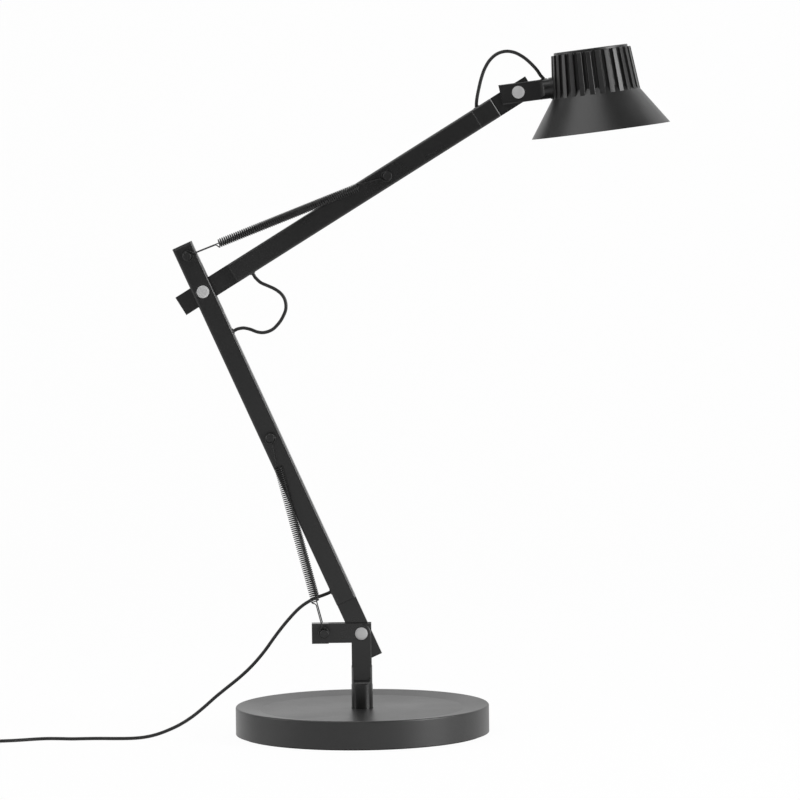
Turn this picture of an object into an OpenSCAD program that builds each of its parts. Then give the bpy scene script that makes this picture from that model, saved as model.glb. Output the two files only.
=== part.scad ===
// Desk lamp with a heavy round base, two square arms, coil springs and a finned head.
// Millimetres. +Z is up, the table is z = 0, and the arms lie in the XZ plane.
// Each arm is drawn along its own x axis, with its own z axis across it in that plane.

/* [Base] */
// Diameter of the round base
base_d = 240; // [200:1:300]
// Height of the base rim above the table
base_h = 27.5; // [25:0.5:40]
// Thickness of the base cover
base_wall = 3.5; // [2.5:0.1:5]
// Depth of the shallow dish in the top of the base
dish_depth = 3; // [1:0.5:4]
// Diameter of the flat floor of that dish
dish_floor_d = 193; // [120:1:197]
// Rounding of the rim
rim_round = 1.5; // [0.5:0.1:2.5]
// Height of the cover's lower edge above the table
cover_lift = 1.5; // [0.5:0.1:1.9]
// Thickness of the foot pad
pad_t = 2; // [2:0.1:3]
// Thickness of the bottom plate
bottom_plate_t = 1.5; // [1:0.1:2]
// Thickness of the ballast ring
ballast_t = 9; // [6:0.5:12.5]
// Diameter of the hole in the ballast ring
ballast_hole_d = 60; // [50:1:120]
// Distance of the ballast screws from the middle
ballast_screw_r = 80; // [50:1:90]

/* [Post and bracket] */
// Diameter of the round post
post_d = 20.2; // [19.6:0.1:21.6]
// Height of the lower pivot above the table
pivot_z = 95.9; // [90:0.1:110]
// Thickness of the fork over its two flats
fork_t = 12.4; // [11.6:0.1:13.4]
// Height of the bracket's arm
bracket_h = 19; // [18:0.1:19.5]
// Height of the bracket's middle above the lower pivot
bracket_lift = 0.3; // [0:0.1:0.6]
// Width of the bracket's leg at the fork
leg_w = 18.8; // [18:0.1:19.4]
// Reach of the bracket from the lower pivot to its free end
bracket_reach = 46.8; // [43:0.1:60]
// Distance from the lower pivot to the bracket's spring stud
bracket_stud_x = 35; // [34.6:0.1:38]
// Height of that stud above the lower pivot
bracket_stud_z = 0.9; // [0:0.1:1.5]
// Radius of the free space round the lower pivot, cut by the slot
slot_reach = 31; // [30:0.1:31.5]
// Width of the post where it leaves the bracket's leg
shank_w = 19.6; // [19.4:0.1:20]
// Radius of the machined face round the lower pivot
face_r = 8.5; // [8.2:0.1:9.2]
// Radius of the milled run-out at the end of each flat
run_out_r = 5; // [3:0.5:8]
// Height at which the flats of the post begin to run out
flat_z = 52.1; // [48:0.1:60]

/* [Arms] */
// Width of the square arm tube
tube_w = 19.4; // [19.2:0.1:21]
// Wall of the arm tube
tube_wall = 1.5; // [1.2:0.1:1.8]
// Rounding of the tube's long edges
tube_round = 1.9; // [0.5:0.1:2]
// Lower arm, from the lower pivot to the elbow
lower_len = 356; // [330:1:400]
// Lower arm's lean from upright, towards the left
lower_lean = 24; // [20:1:30]
// Upper arm, from the elbow to the head pivot
upper_len = 350.5; // [330:0.5:400]
// Upper arm's rise from level
upper_rise = 31.6; // [28:0.1:35]
// Drop of the upper tube's middle below the line of its pivots
upper_drop = 0.6; // [0:0.1:0.8]
// Length of the lower arm beyond the elbow
lower_over = 47.9; // [46:0.1:60]
// Thickness of the tongues between the forks
tongue_t = 6; // [5:0.1:6.6]
// Length of a tongue behind its pivot
tongue_tail = 25.3; // [20:0.1:26]
// Distance from the lower pivot to the near end of its tube
tube_start = 34; // [33:0.1:36]
// Distance from the elbow to the near end of the upper tube
upper_tube_start = 32.5; // [32:0.1:35]
// Length of each insert inside its tube
insert_len = 34; // [20:1:40]
// Length of the square ferrule at the head end
ferrule_len = 20.9; // [20:0.1:24]
// Distance from the ferrule's outer face to the head pivot
ferrule_gap = 25.4; // [24:0.1:27]
// Length of the head tongue beyond its pivot
tongue_tip = 13.4; // [11:0.1:13.6]
// Distance from a pivot to the arm's spring stud
arm_stud_x = 205; // [190:1:215]
// Distance from the elbow to the extension's spring stud
over_stud_x = 36.6; // [35:0.1:39]
// Shift of that stud towards the upper arm
over_stud_shift = 0.6; // [0:0.1:1.2]
// Largest swing of the upper arm either side of square
elbow_swing = 44; // [40:1:48]

/* [Pivots and studs] */
// Diameter of a pivot shaft
shaft_d = 8; // [7:0.1:9]
// Running clearance round a shaft, on the radius
run_gap = 0.04; // [0.02:0.01:0.08]
// Diameter of the round pivot caps
cap_d = 11.8; // [11:0.1:13]
// Thickness of the pivot caps
cap_t = 1.4; // [1:0.1:1.8]
// Depth of the seat that a pivot cap lies in
cap_sink = 0.7; // [0.4:0.1:0.9]
// Width of the dark gap round a pivot cap
cap_gap = 0.5; // [0.2:0.1:0.8]
// Thickness of the friction washers
washer_t = 0.5; // [0.3:0.05:0.6]
// Side gap at each friction washer, in all
washer_gap = 0.1; // [0.05:0.01:0.15]
// Distance of the springs from the middle plane
spring_y = 14.5; // [14.4:0.1:16]
// Diameter of a spring stud's groove
stud_groove_d = 5.6; // [5:0.1:5.8]
// Diameter of a spring stud's collar
stud_collar_d = 8; // [7.6:0.1:8.4]

/* [Springs] */
// Diameter of the spring wire
wire_d = 1; // [0.9:0.1:1.2]
// Outer diameter of the springs
spring_od = 8.2; // [7.4:0.1:8.6]
// Curls drawn in each spring
spring_curls = 22; // [12:1:24]
// Centreline radius of the loop round a stud
hook_r = 4.6; // [4.5:0.1:4.9]
// Stem of a lower spring, from its bracket stud to the coil
lower_stem_a = 32; // [26:1:36]
// Stem of a lower spring, from its arm stud to the coil
lower_stem_b = 29; // [24:0.5:32]
// Stem of an upper spring, from the extension's stud to the coil
upper_stem_a = 32; // [28:1:36]
// Stem of an upper spring, from its arm stud to the coil
upper_stem_b = 29.5; // [24:0.5:32]

/* [Head] */
// Tilt of the head, right side up
head_tilt = 6.8; // [0:0.1:15]
// Length of the neck between its fork and the head
neck_len = 9.5; // [9:0.1:14]
// Rim radius of the shade
rim_r = 65.5; // [60:0.1:72]
// Depth of the rim below the neck's level
rim_drop = 45.9; // [44:0.1:55]
// Slope of the shade from the head's axis
shade_angle = 34.4; // [32:0.1:35]
// Width of the shade's bare lower edge
rim_edge = 1.2; // [0.8:0.1:2]
// Wall of the shade at its top
shade_wall = 2.6; // [2:0.1:3]
// Radius over the fins at their top
fin_top_r = 37.6; // [37:0.1:39]
// Radius over the fins at their foot
fin_foot_r = 41.7; // [41.2:0.1:42]
// Height of the fins' top above the neck's level
fin_top = 29.4; // [28:0.1:36]
// Depth of the fins' foot below the neck's level
fin_foot = 11.4; // [10:0.1:12]
// Number of fins
fin_count = 27; // [20:1:28]
// Width of the grooves between the fins
groove_w = 4.5; // [3.5:0.1:5]
// Depth of those grooves
groove_depth = 3.5; // [2.5:0.1:3.8]
// Radius of the round cover on the head
head_cap_r = 34.9; // [33:0.1:36]
// Thickness of the round cover on the head
head_cap_t = 2.4; // [1.6:0.1:3]
// Diameter of the head's neck
neck_d = 19; // [18:0.1:20]
// Height of the head's fork
head_fork_h = 18.6; // [17.4:0.1:19]
// Drop of the neck's middle below the head pivot
neck_drop = 0.4; // [0:0.1:1]
// Length of the fork's cheeks behind the head pivot
cheek_back = 17.6; // [15:0.1:18.5]
// Distance from the head pivot to the end of the flats
head_flat_x = 20.4; // [19.5:0.1:24]
// Radius of the free space round the head pivot, cut by the slot
head_slot_reach = 17.6; // [17.3:0.1:19]

/* [Light] */
// Radius of the lens seat
lens_r = 35.4; // [34:0.1:36]
// Radius of the lamp chamber
chamber_r = 31; // [29:0.1:32]
// Depth of the lens seat below the neck's level
lens_seat = 7.6; // [7.4:0.1:7.8]
// Thickness of the lens
lens_t = 2; // [1.5:0.1:2.2]
// Height of the chamber's ceiling above the neck's level
ceiling_z = 14; // [13:0.1:15]
// Thickness of the heat web over the chamber
web_t = 4; // [3.6:0.1:5]
// Radius of the lamp board
led_board_r = 21; // [19:0.1:21.5]
// Thickness of the circuit boards
board_t = 1.5; // [1.2:0.1:1.8]
// Radius of the dimmer board
dimmer_board_r = 27; // [26.5:0.1:28]

/* [Cable] */
// Diameter of the cable
cable_d = 3.2; // [3:0.1:3.3]
// Distance of the lead's exit from the lower pivot
lead_exit_x = 47.5; // [45:0.5:52]
// Distance of the elbow loop's lower end from the elbow
loop_low_x = 45.7; // [42:0.1:50]
// Distance of the elbow loop's upper end from the elbow
loop_high_x = 48.4; // [46:0.1:52]
// Distance of the head loop's near end from the ferrule's outer face
ferrule_exit_x = 15.4; // [14:0.1:16]
// Lean of the head loop's two ends towards each other
exit_lean = 35; // [25:1:38]
// Turns in the stored coil of lead
coil_turns = 11.25; // [9.25:1:12.25]
// Radius of the coil at the middle of its turns
coil_mid_r = 19; // [17:0.1:20]
// Step between neighbouring turns of the coil
coil_step = 3.9; // [3.7:0.1:4.2]

/* [Plug] */
// Width of the plug-in power supply
supply_w = 30; // [28:1:40]
// Length of the plug-in power supply
supply_len = 56; // [45:1:70]
// Radius of a plug pin
plug_pin_r = 2; // [1.5:0.1:2.4]
// Length of a plug pin
plug_pin_len = 19; // [15:0.5:19]
// Distance between the plug pins
plug_pin_gap = 19; // [15:0.5:20]

/* [Hidden] */

$fn = 64;
black = [0.17, 0.17, 0.17];
jet = [0.09, 0.09, 0.09];
grey = [0.35, 0.35, 0.35];
silver = [0.68, 0.68, 0.68];
steel = [0.55, 0.55, 0.56];
white = [0.93, 0.93, 0.9];
seat_gap = 0.05;
eps = 0.5;

// Levels in the base, from the table up
dish_floor_z = base_h - dish_depth;
ceiling_base_z = dish_floor_z - base_wall;
plate_z = pad_t;
ballast_z = plate_z + bottom_plate_t;
ballast_top_z = ballast_z + ballast_t;
inner_base_r = base_d / 2 - base_wall;
post_seat = 2;
shoulder_z = dish_floor_z - post_seat;
spigot_d = post_d - 4.2;
bush_wall = 4;
bush_d = spigot_d + 2 * (bush_wall + run_gap);
bush_len = 9.5;
bush_z = shoulder_z - bush_len;
hub_d = bush_d + 16;
seam_gap = 0.5;
thrust_gap = 0.1;
post_washer_t = 1.5;
post_washer_d = bush_d + 6;
post_nut_t = 5.2;
stud_thread_d = 12;
post_washer_z = bush_z - thrust_gap - post_washer_t;
post_nut_z = post_washer_z - post_nut_t;
screw_d = 5;
screw_head_d = 9;
screw_head_t = 3.2;

// Fork and tongue fits
fork_gap = tongue_t + 2 * (washer_t + washer_gap);
bore_d = shaft_d + 2 * run_gap;
seat_d = cap_d + 2 * cap_gap;
inner_w = tube_w - 2 * tube_wall;
insert_w = inner_w - 2 * seat_gap;
slot_bottom_z = pivot_z - slot_reach;
bracket_mid = pivot_z + bracket_lift;
face_step = 0.35;
face_slope = 0.6;
face_corner_r = 4.4;
fork_bevel_w = 0.7;
fork_bevel_t = 0.4;
joint_bevel = 0.3;
cap_joint_bevel = 0.15;
ferrule_bevel = 1;
bevel_rise = 0.55;
fin_bevel_w = 0.5;
fin_bevel_t = 0.35;
cap_bevel_w = 1.6;
cap_bevel_t = 0.45;
stud_bevel = 0.35;
tube_end = lower_len + lower_over;
ferrule_end = upper_len - ferrule_gap;
upper_tube_end = ferrule_end - ferrule_len;
head_loop_x = ferrule_end - ferrule_exit_x;
ferrule_insert_len = 26;
slot_half = tube_w / 2 * tan(elbow_swing) + (tube_w / 2 + upper_drop) / cos(elbow_swing) + 1;
end_cap_t = 1.5;
relief = 0.6;
stud_bolt_d = 5;
stud_screw_d = 2.6;
stud_lip_t = 1;
stud_groove_w = 1.8;
shaft_screw_d = 4.6;
shaft_floor = 3;
shaft_play = 0.3;
tip_gap = 1;

// Pivot places in the XZ plane
lower_p = [0, 0, pivot_z];
lower_a = 90 + lower_lean;
elbow_p = place(lower_p, lower_a, [lower_len, 0, 0]);
head_p = place(elbow_p, upper_rise, [upper_len, 0, 0]);

// Spring ends
bracket_stud_p = place(lower_p, 180, [bracket_stud_x, 0, -bracket_stud_z]);
arm_stud_p = place(lower_p, lower_a, [arm_stud_x, 0, 0]);
over_stud_p = place(lower_p, lower_a, [lower_len + over_stud_x, 0, -over_stud_shift]);
upper_stud_p = place(elbow_p, upper_rise, [arm_stud_x, 0, -upper_drop]);
hook_play = 0.2;
hook_shift = hook_r - wire_d / 2 - stud_groove_d / 2 - hook_play;
hook_steps = 10;
curl_rings = 8;
wire_sides = 4;

// Cable fits
grommet_d = cable_d + 1.8;
grommet_bore_d = cable_d + 0.4;
grommet_flange_d = cable_d + 2.8;
grommet_flange_t = 0.8;
sleeve_rise = 0.4;
sleeve_in = 2.6;
cable_gap = 0.5;
channel_w = grommet_d + 0.4;
channel_floor = cable_d / 2 + 0.8;
cable_mid = 0.6;
stud_pass = 16;
stud_run = 60;
cable_sides = 8;
tie_t = 0.6;
tie_w = 4;
tie_gap = 0.3;
coil_lift = cable_d / 2 + tie_t + tie_gap;
side = tube_w / 2;
stud_clear_z = 5.6;
stub = 5;
lead_exit = place(lower_p, lower_a, [lead_exit_x, 0, side]);
lead_stub = place(lower_p, lower_a, [lead_exit_x, 0, side + stub]);
loop_low = place(lower_p, lower_a, [lower_len - loop_low_x, 0, -side]);
loop_low_stub = place(lower_p, lower_a, [lower_len - loop_low_x, 0, -side - stub]);
loop_high = place(elbow_p, upper_rise, [loop_high_x, 0, -side - upper_drop]);
loop_high_stub = place(elbow_p, upper_rise, [loop_high_x, 0, -side - upper_drop - stub]);
lean_out = [sin(exit_lean), 0, cos(exit_lean)];
head_loop = place(elbow_p, upper_rise, [head_loop_x, 0, side - upper_drop]);
head_loop_stub = place(elbow_p, upper_rise, [head_loop_x, 0, side - upper_drop] + stub * lean_out);
neck_top = neck_d / 2 - neck_drop;
neck_boss_x = head_flat_x + neck_len;
neck_exit_x = neck_boss_x - grommet_d / 2 / cos(exit_lean) - 1.3;
neck_in = [-lean_out[0], 0, lean_out[2]];
neck_exit = place(head_p, head_tilt, [neck_exit_x, 0, neck_top]);
neck_exit_stub = place(head_p, head_tilt, [neck_exit_x, 0, neck_top] + stub * neck_in);

// Lead from the lower arm down to the table and along it to the coil
lead_route = [
  [-46, -3, 128.5], [-57.5, -6, 121.5], [-69, -8, 110], [-80.5, -9.5, 96], [-92, -11, 80.5],
  [-103.5, -12.5, 67.5], [-115, -14, 57], [-126.5, -15.5, 48], [-138, -17, 39],
  [-149, -18, 29.5], [-160.5, -19.5, 20.5], [-172, -21, 13.5], [-183, -22, 8.5],
  [-194.5, -23.5, 4.6], [-206, -25, 2.4], [-218, -26.5, 1.7], [-233, -26.5, 1.7],
  [-248, -24.5, 1.7], [-262, -24.5, 1.7], [-274, -25, 1.7], [-285, -22.5, 1.7],
  [-297, -21, 1.7], [-308, -23.5, 1.7], [-319, -28, 1.7], [-330, -32, 1.7],
  [-341, -35.5, 1.9], [-354, -38, 2.2]
];
// Elbow loop, from the upper arm round to the lower arm, measured from the elbow
elbow_loop_route = [
  [54.1, 0, 7.7], [60.9, 0, 4.5], [67.5, 0, 1.3], [73.3, 0, -3.2], [76.9, 0, -9.4],
  [77.5, 0, -17.3], [74.9, 0, -24.3], [71, 0, -30.5], [64.8, 0, -36.6], [57.4, 0, -39.4],
  [50.7, 0, -39], [44, 0, -36.4], [37.6, 0, -35]
];
// Head loop, from the upper arm over to the neck, measured from the head pivot
head_loop_route = [
  [-38.5, 0, -3.6], [-37, 0, 3.6], [-34.7, 0, 12.8], [-31.4, 0, 22], [-26.4, 0, 30.2],
  [-19.6, 0, 36], [-11.4, 0, 38.4], [-3, 0, 37.2], [5.2, 0, 32.8], [12.2, 0, 26.8], [17.8, 0, 20.6]
];

// Coil of stored lead, with its plug-in supply beside it
coil_layers = 4;
coil_rings = 16;
coil_c = [-374, -38.5];
layer_turns = coil_turns / coil_layers;
coil_spread = coil_step * layer_turns / 2;
coil_outer_r = coil_mid_r + coil_spread;
coil_y = coil_c[1] - coil_outer_r;
coil_start = [coil_c[0] + cable_d, coil_c[1], coil_lift];
coil_path = concat([coil_start], [for (i = [0 : coil_turns * coil_rings]) coil_point(i / coil_rings)]);
coil_last = coil_point(coil_turns);
coil_end = [coil_last[0], coil_last[1] - cable_d, coil_last[2]];
coil_top_z = coil_lift + (coil_layers - 1) * coil_step;
relief_len = 22;
relief_y = coil_end[1] - 12;
supply_y = relief_y - relief_len;
supply_h = 2 * coil_top_z;
supply_tail_route = [
  [coil_last[0], coil_end[1], coil_top_z],
  [coil_last[0], coil_end[1] - 4, coil_top_z],
  [coil_last[0], coil_end[1] - 8, coil_top_z],
  [coil_last[0], relief_y, coil_top_z]
];
supply_cover_t = 3;
supply_round = 3;
supply_wall = 2;
plug_pin_root = 11;

// Head levels, from the level of its pivot
fin_lean = atan((fin_foot_r - fin_top_r) / (fin_top + fin_foot));
upper_floor_z = ceiling_z + web_t;
board_z = upper_floor_z + 4;
board_post_d = 5;
neck_boss_out = 0.9;
head_reach = neck_boss_x + neck_boss_out + fin_foot_r;
neck_seat_x = neck_boss_x + 2.1;
spigot_end_x = head_reach - chamber_r - 1;
neck_boss_d = neck_d + 1.2;
neck_spigot_d = neck_d - 7;
neck_bore_d = cable_d + 2;
neck_screw_d = 3;
neck_screw_x = neck_seat_x + 2;
neck_screw_sink = 0.5;
cheek_slant = 1.7;
pocket_r = head_cap_r - 4.6;
lens_ring_t = 2.2;
reflector_low_r = 28;
reflector_top_r = 9;
reflector_wall = 1.2;
emitter_t = 1.2;
led_screw_r = 16;
cable_bend_r = 6.5;
riser_r = head_reach - spigot_end_x - cable_bend_r;
riser_hole_d = cable_d + 0.8;
neck_bend_x = neck_exit_x + neck_d / 2 * tan(exit_lean);
neck_bend = 90 - exit_lean;
link_w = 8;
link_t = 3;
link_r = 12;
link_gap = 0.3;
lip_wall = 2.5;
lip_depth = 3;

// Point p of an arm whose origin is o and whose x axis points at angle a
function place(o, a, p) = [
  o[0] + p[0] * cos(a) - p[2] * sin(a),
  o[1] + p[1],
  o[2] + p[0] * sin(a) + p[2] * cos(a)
];
function unit(v) = v / norm(v);
// Straight first stretch of a cord, from its exit a to the end b of the stretch
function stretch(a, b) = [a, (a + b) / 2, b];
function shade_r(z) = rim_r - (z + rim_drop) * tan(shade_angle);
function floor_r(z) = fin_foot_r - groove_depth - (z + fin_foot) * tan(fin_lean);
// Smooth curve through hand-placed points, with n steps between them
function curve_point(a, b, c, d, t) =
  0.5 * ((2 * b) + (c - a) * t + (2 * a - 5 * b + 4 * c - d) * t * t
  + (3 * b - a - 3 * c + d) * t * t * t);
function smooth(p, n) = concat(
  [for (i = [0 : len(p) - 2], j = [0 : n - 1])
    curve_point(p[max(i - 1, 0)], p[i], p[i + 1], p[min(i + 2, len(p) - 1)], j / n)],
  [p[len(p) - 1]]);
// Stored coil: the spiral goes in and out at a steady rate and climbs where it turns back
function coil_fold(t) = t / layer_turns - 2 * floor(t / layer_turns / 2);
function coil_r(t) =
  coil_outer_r - 2 * coil_spread * (coil_fold(t) < 1 ? coil_fold(t) : 2 - coil_fold(t));
function coil_climb(t, k) = min(max((t - k * layer_turns) * 2 + 0.5, 0), 1);
function coil_z(t) = coil_lift + coil_step
  * (coil_climb(t, 1) + coil_climb(t, 2) + coil_climb(t, 3));
function coil_point(t) = [
  coil_c[0] - coil_r(t) * sin(360 * t),
  coil_y + coil_r(t) * cos(360 * t),
  coil_z(t)
];
// Spring: a loop hung on each stud, straight stems, and curls between them
function hook_points() = concat(
  [for (i = [0 : hook_steps]) let (a = -15 - 315 * i / hook_steps)
    [hook_shift + hook_r * cos(a), 0, hook_r * sin(a)]],
  [[hook_shift + hook_r + 1.2, 0, 0.6], [hook_shift + hook_r + 3.2, 0, 0]]);
function spring_points(span, stem_a, stem_b) =
  let (r = (spring_od - wire_d) / 2, run = span - stem_a - stem_b, n = spring_curls * curl_rings)
  concat(
    hook_points(),
    [[stem_a - 3.4, 0, 0], [stem_a - 1.4, 0, r * 0.5]],
    [for (i = [0 : n])
      [stem_a + run * i / n, r * sin(360 * i / curl_rings), r * cos(360 * i / curl_rings)]],
    [[span - stem_b + 1.4, 0, r * 0.5], [span - stem_b + 3.4, 0, 0]],
    [for (i = [len(hook_points()) - 1 : -1 : 0])
      [span - hook_points()[i][0], 0, -hook_points()[i][2]]]);
function spring_path(a, b, y, stem_a, stem_b) =
  let (angle = atan2(b[2] - a[2], b[0] - a[0]))
  [for (p = spring_points(norm(b - a), stem_a, stem_b)) place(a + [0, y, 0], angle, p)];
// Least free space between two stretches of one tube that are not neighbours
function least_gap(p, d, skip) = min(
  [for (i = [0 : len(p) - skip - 1], j = [i + skip : len(p) - 1])
    if (abs(p[i][0] - p[j][0]) < 4 * d && abs(p[i][2] - p[j][2]) < 4 * d) norm(p[i] - p[j])]) - d;
// Frames along a path, each turned as little as it can be from the one before
function path_dir(p, i) = unit(p[min(i + 1, len(p) - 1)] - p[max(i - 1, 0)]);
function first_side(t) = unit(cross(t, abs(t[1]) < 0.9 ? [0, 1, 0] : [1, 0, 0]));
function next_side(n, t) = unit(n - (n * t) * t);
function sides_along(p) =
  [for (i = 0, n = first_side(path_dir(p, 0)); i < len(p);
    i = i + 1, n = i < len(p) ? next_side(n, path_dir(p, i)) : n) n];

// Round tube of diameter d along the path p
module tube_along(p, d, sides) {
  n = sides_along(p);
  points = [for (i = [0 : len(p) - 1], k = [0 : sides - 1])
    let (b = cross(path_dir(p, i), n[i]), a = 360 * k / sides)
    p[i] + d / 2 * (cos(a) * n[i] + sin(a) * b)];
  last = (len(p) - 1) * sides;
  walls = [for (i = [0 : len(p) - 2], k = [0 : sides - 1], half = [0, 1])
    let (a = i * sides + k, b = i * sides + (k + 1) % sides)
    half == 0 ? [a, a + sides, b] : [b, a + sides, b + sides]];
  starts = [for (k = [1 : sides - 2]) [0, k, k + 1]];
  ends = [for (k = [1 : sides - 2]) [last, last + k + 1, last + k]];
  polyhedron(points, concat(walls, starts, ends), 4);
}

// Frames of the three moving arms
module on_lower() {
  translate(lower_p) rotate([0, -lower_a, 0]) children();
}
module on_upper() {
  translate(elbow_p) rotate([0, -upper_rise, 0]) children();
}
// The upper tube's own middle line
module on_upper_bar() {
  on_upper() translate([0, 0, -upper_drop]) children();
}
module on_head() {
  translate(head_p) rotate([0, -head_tilt, 0]) children();
}
module on_head_axis() {
  on_head() translate([head_reach, 0, 0]) children();
}

// Round bar along y from y0 to y1
module bar_y(d, y0, y1) {
  translate([0, y1, 0]) rotate([90, 0, 0]) cylinder(d = d, h = y1 - y0);
}
// Round bar along x from x0 to x1
module bar_x(d, x0, x1) {
  translate([x0, 0, 0]) rotate([0, 90, 0]) cylinder(d = d, h = x1 - x0);
}
module block(x0, x1, w, z0, z1) {
  translate([x0, -w / 2, z0]) cube([x1 - x0, w, z1 - z0]);
}
module round_square(w, r) {
  square([w, w - 2 * r], center = true);
  square([w - 2 * r, w], center = true);
  for (sx = [-1, 1], sy = [-1, 1]) {
    translate([sx * (w / 2 - r), sy * (w / 2 - r)]) circle(r = r);
  }
}
// Square arm bar with bevels b0 and b1 wide round its two ends
module arm_bar(x0, x1, b0, b1) {
  outline = [
    [x0, bevel_rise * b0 - side], [x0 + b0, -side], [x1 - b1, -side], [x1, bevel_rise * b1 - side],
    [x1, side - bevel_rise * b1], [x1 - b1, side], [x0 + b0, side], [x0, side - bevel_rise * b0]
  ];
  intersection() {
    translate([x0, 0, 0]) rotate([0, 90, 0]) linear_extrude(x1 - x0) round_square(tube_w, tube_round);
    translate([0, 0, -tube_w]) linear_extrude(2 * tube_w) polygon(outline);
    translate([0, tube_w, 0]) rotate([90, 0, 0]) linear_extrude(2 * tube_w) polygon(outline);
  }
}
// Seats for the two pivot caps and the bore between them, on faces at y = +-face
module pivot_holes(face) {
  bar_y(bore_d, -face - eps, face + eps);
  bar_y(seat_d, -face - eps, cap_sink - face);
  bar_y(seat_d, face - cap_sink, face + eps);
}
// Flat disc with a bevel w wide and h deep, facing -y from y0
module bevel_disc(d, y0, t, w, h) {
  translate([0, y0, 0]) rotate([90, 0, 0]) rotate_extrude() polygon([
    [0, 0], [d / 2, 0], [d / 2, t - h], [d / 2 - w, t], [0, t]
  ]);
}
module pivot_pin(face) {
  inner = face - cap_sink;
  bevel_disc(cap_d, -inner, cap_t, cap_bevel_w, cap_bevel_t);
  difference() {
    bar_y(shaft_d, -inner, inner - shaft_play);
    bar_y(shaft_screw_d + 2 * seat_gap, -inner + shaft_floor, inner);
  }
}
module pivot_screw(face) {
  inner = face - cap_sink;
  mirror([0, 1, 0]) bevel_disc(cap_d, -inner, cap_t, cap_bevel_w, cap_bevel_t);
  bar_y(shaft_screw_d, -inner + shaft_floor + tip_gap, inner);
}
module washer_pair(d, inner_y, t, hole_d) {
  for (s = [-1, 1]) {
    difference() {
      bar_y(d, s * (inner_y + t / 2) - t / 2, s * (inner_y + t / 2) + t / 2);
      bar_y(hole_d, s * (inner_y + t / 2) - t, s * (inner_y + t / 2) + t);
    }
  }
}
// One half of a spring stud, outside a face at y = -face
module stud_half(face) {
  groove_y0 = spring_y - stud_groove_w / 2;
  groove_y1 = spring_y + stud_groove_w / 2;
  bar_y(stud_collar_d, -groove_y0, -face);
  bar_y(stud_groove_d, -groove_y1, -groove_y0);
  bevel_disc(stud_collar_d, -groove_y1, stud_lip_t, stud_bevel, stud_bevel);
}
// Front and rear studs that screw together through the part
module spring_stud(face) {
  stud_half(face);
  difference() {
    bar_y(stud_bolt_d, -face, face - shaft_play);
    bar_y(stud_screw_d + 2 * seat_gap, -face + tip_gap, face);
  }
  mirror([0, 1, 0]) stud_half(face);
  bar_y(stud_screw_d, -face + 2 * tip_gap, face);
}
// Rubber grommet on a face at z = 0, with its neck going t deep
module grommet(t) {
  difference() {
    union() {
      translate([0, 0, -t]) cylinder(d = grommet_d, h = t);
      cylinder(d1 = grommet_flange_d, d2 = grommet_flange_d - 1, h = grommet_flange_t);
    }
    translate([0, 0, -t - eps]) cylinder(d = grommet_bore_d, h = t + grommet_flange_t + 2 * eps);
  }
}
// Rubber sleeve round a cable that leans out of a face by angle a, trimmed a little above the face
module sleeve(a) {
  difference() {
    rotate([0, a, 0]) translate([0, 0, -sleeve_in]) cylinder(d = grommet_d, h = sleeve_in + grommet_d);
    rotate([0, a, 0]) translate([0, 0, -sleeve_in - eps]) {
      cylinder(d = grommet_bore_d, h = sleeve_in + grommet_d + 2 * eps);
    }
    block(-2 * grommet_d, 2 * grommet_d, 2 * grommet_d, sleeve_rise, 2 * grommet_d);
  }
}
// Leaning hole for such a sleeve, going depth down along its own axis
module sleeve_hole(a, depth) {
  rotate([0, a, 0]) translate([0, 0, -depth]) cylinder(d = grommet_d + 2 * seat_gap, h = depth + stub);
}
module cable_hole(x, s) {
  translate([x, 0, s * (side - 2 * tube_wall)]) mirror([0, 0, s > 0 ? 0 : 1]) {
    cylinder(d = grommet_d + 2 * seat_gap, h = 3 * tube_wall);
  }
}
// Removes the front and rear of a bar that lies along z, leaving flats that run out below z0
module mill_flats(z0, z1) {
  for (s = [-1, 1]) {
    translate([-post_d, min(s * fork_t / 2, s * 2 * post_d), z0]) {
      cube([2 * post_d, 2 * post_d - fork_t / 2, z1 - z0]);
    }
    translate([0, s * (fork_t / 2 + run_out_r), z0]) bar_x(2 * run_out_r, -post_d, post_d);
  }
}

module base_cover() color(grey) difference() {
  union() {
    difference() {
      rotate_extrude($fn = 128) polygon(concat(
        [[0, cover_lift], [base_d / 2, cover_lift]],
        [for (a = [0 : 15 : 90])
          [base_d / 2 - rim_round + rim_round * cos(a), base_h - rim_round + rim_round * sin(a)]],
        [[dish_floor_d / 2, dish_floor_z], [0, dish_floor_z]]
      ));
      translate([0, 0, -eps]) cylinder(r = inner_base_r, h = ceiling_base_z + eps, $fn = 128);
    }
    translate([0, 0, bush_z]) cylinder(d = hub_d, h = ceiling_base_z - bush_z + 1);
    for (a = [45 : 90 : 359]) {
      rotate(a) translate([ballast_screw_r, 0, ballast_top_z]) {
        cylinder(d = 2.4 * screw_d, h = ceiling_base_z - ballast_top_z + 1);
      }
    }
  }
  translate([0, 0, bush_z - eps]) cylinder(d = bush_d + 2 * seat_gap, h = bush_len + eps);
  cylinder(d = post_d + 2 * seam_gap, h = base_h);
  for (a = [45 : 90 : 359]) {
    rotate(a) translate([ballast_screw_r, 0, ballast_top_z - eps]) {
      cylinder(d = screw_d + 2 * seat_gap, h = ceiling_base_z - ballast_top_z + 1.5 + eps);
    }
  }
}

module bottom_plate() color(steel) difference() {
  translate([0, 0, plate_z]) cylinder(r = inner_base_r - 0.3, h = bottom_plate_t, $fn = 128);
  for (a = [45 : 90 : 359]) {
    rotate(a) translate([ballast_screw_r, 0, 0]) cylinder(d = screw_head_d + 1, h = base_h);
  }
}

module foot_pad() color(jet) cylinder(r = inner_base_r - 0.5, h = pad_t, $fn = 128);

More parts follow.
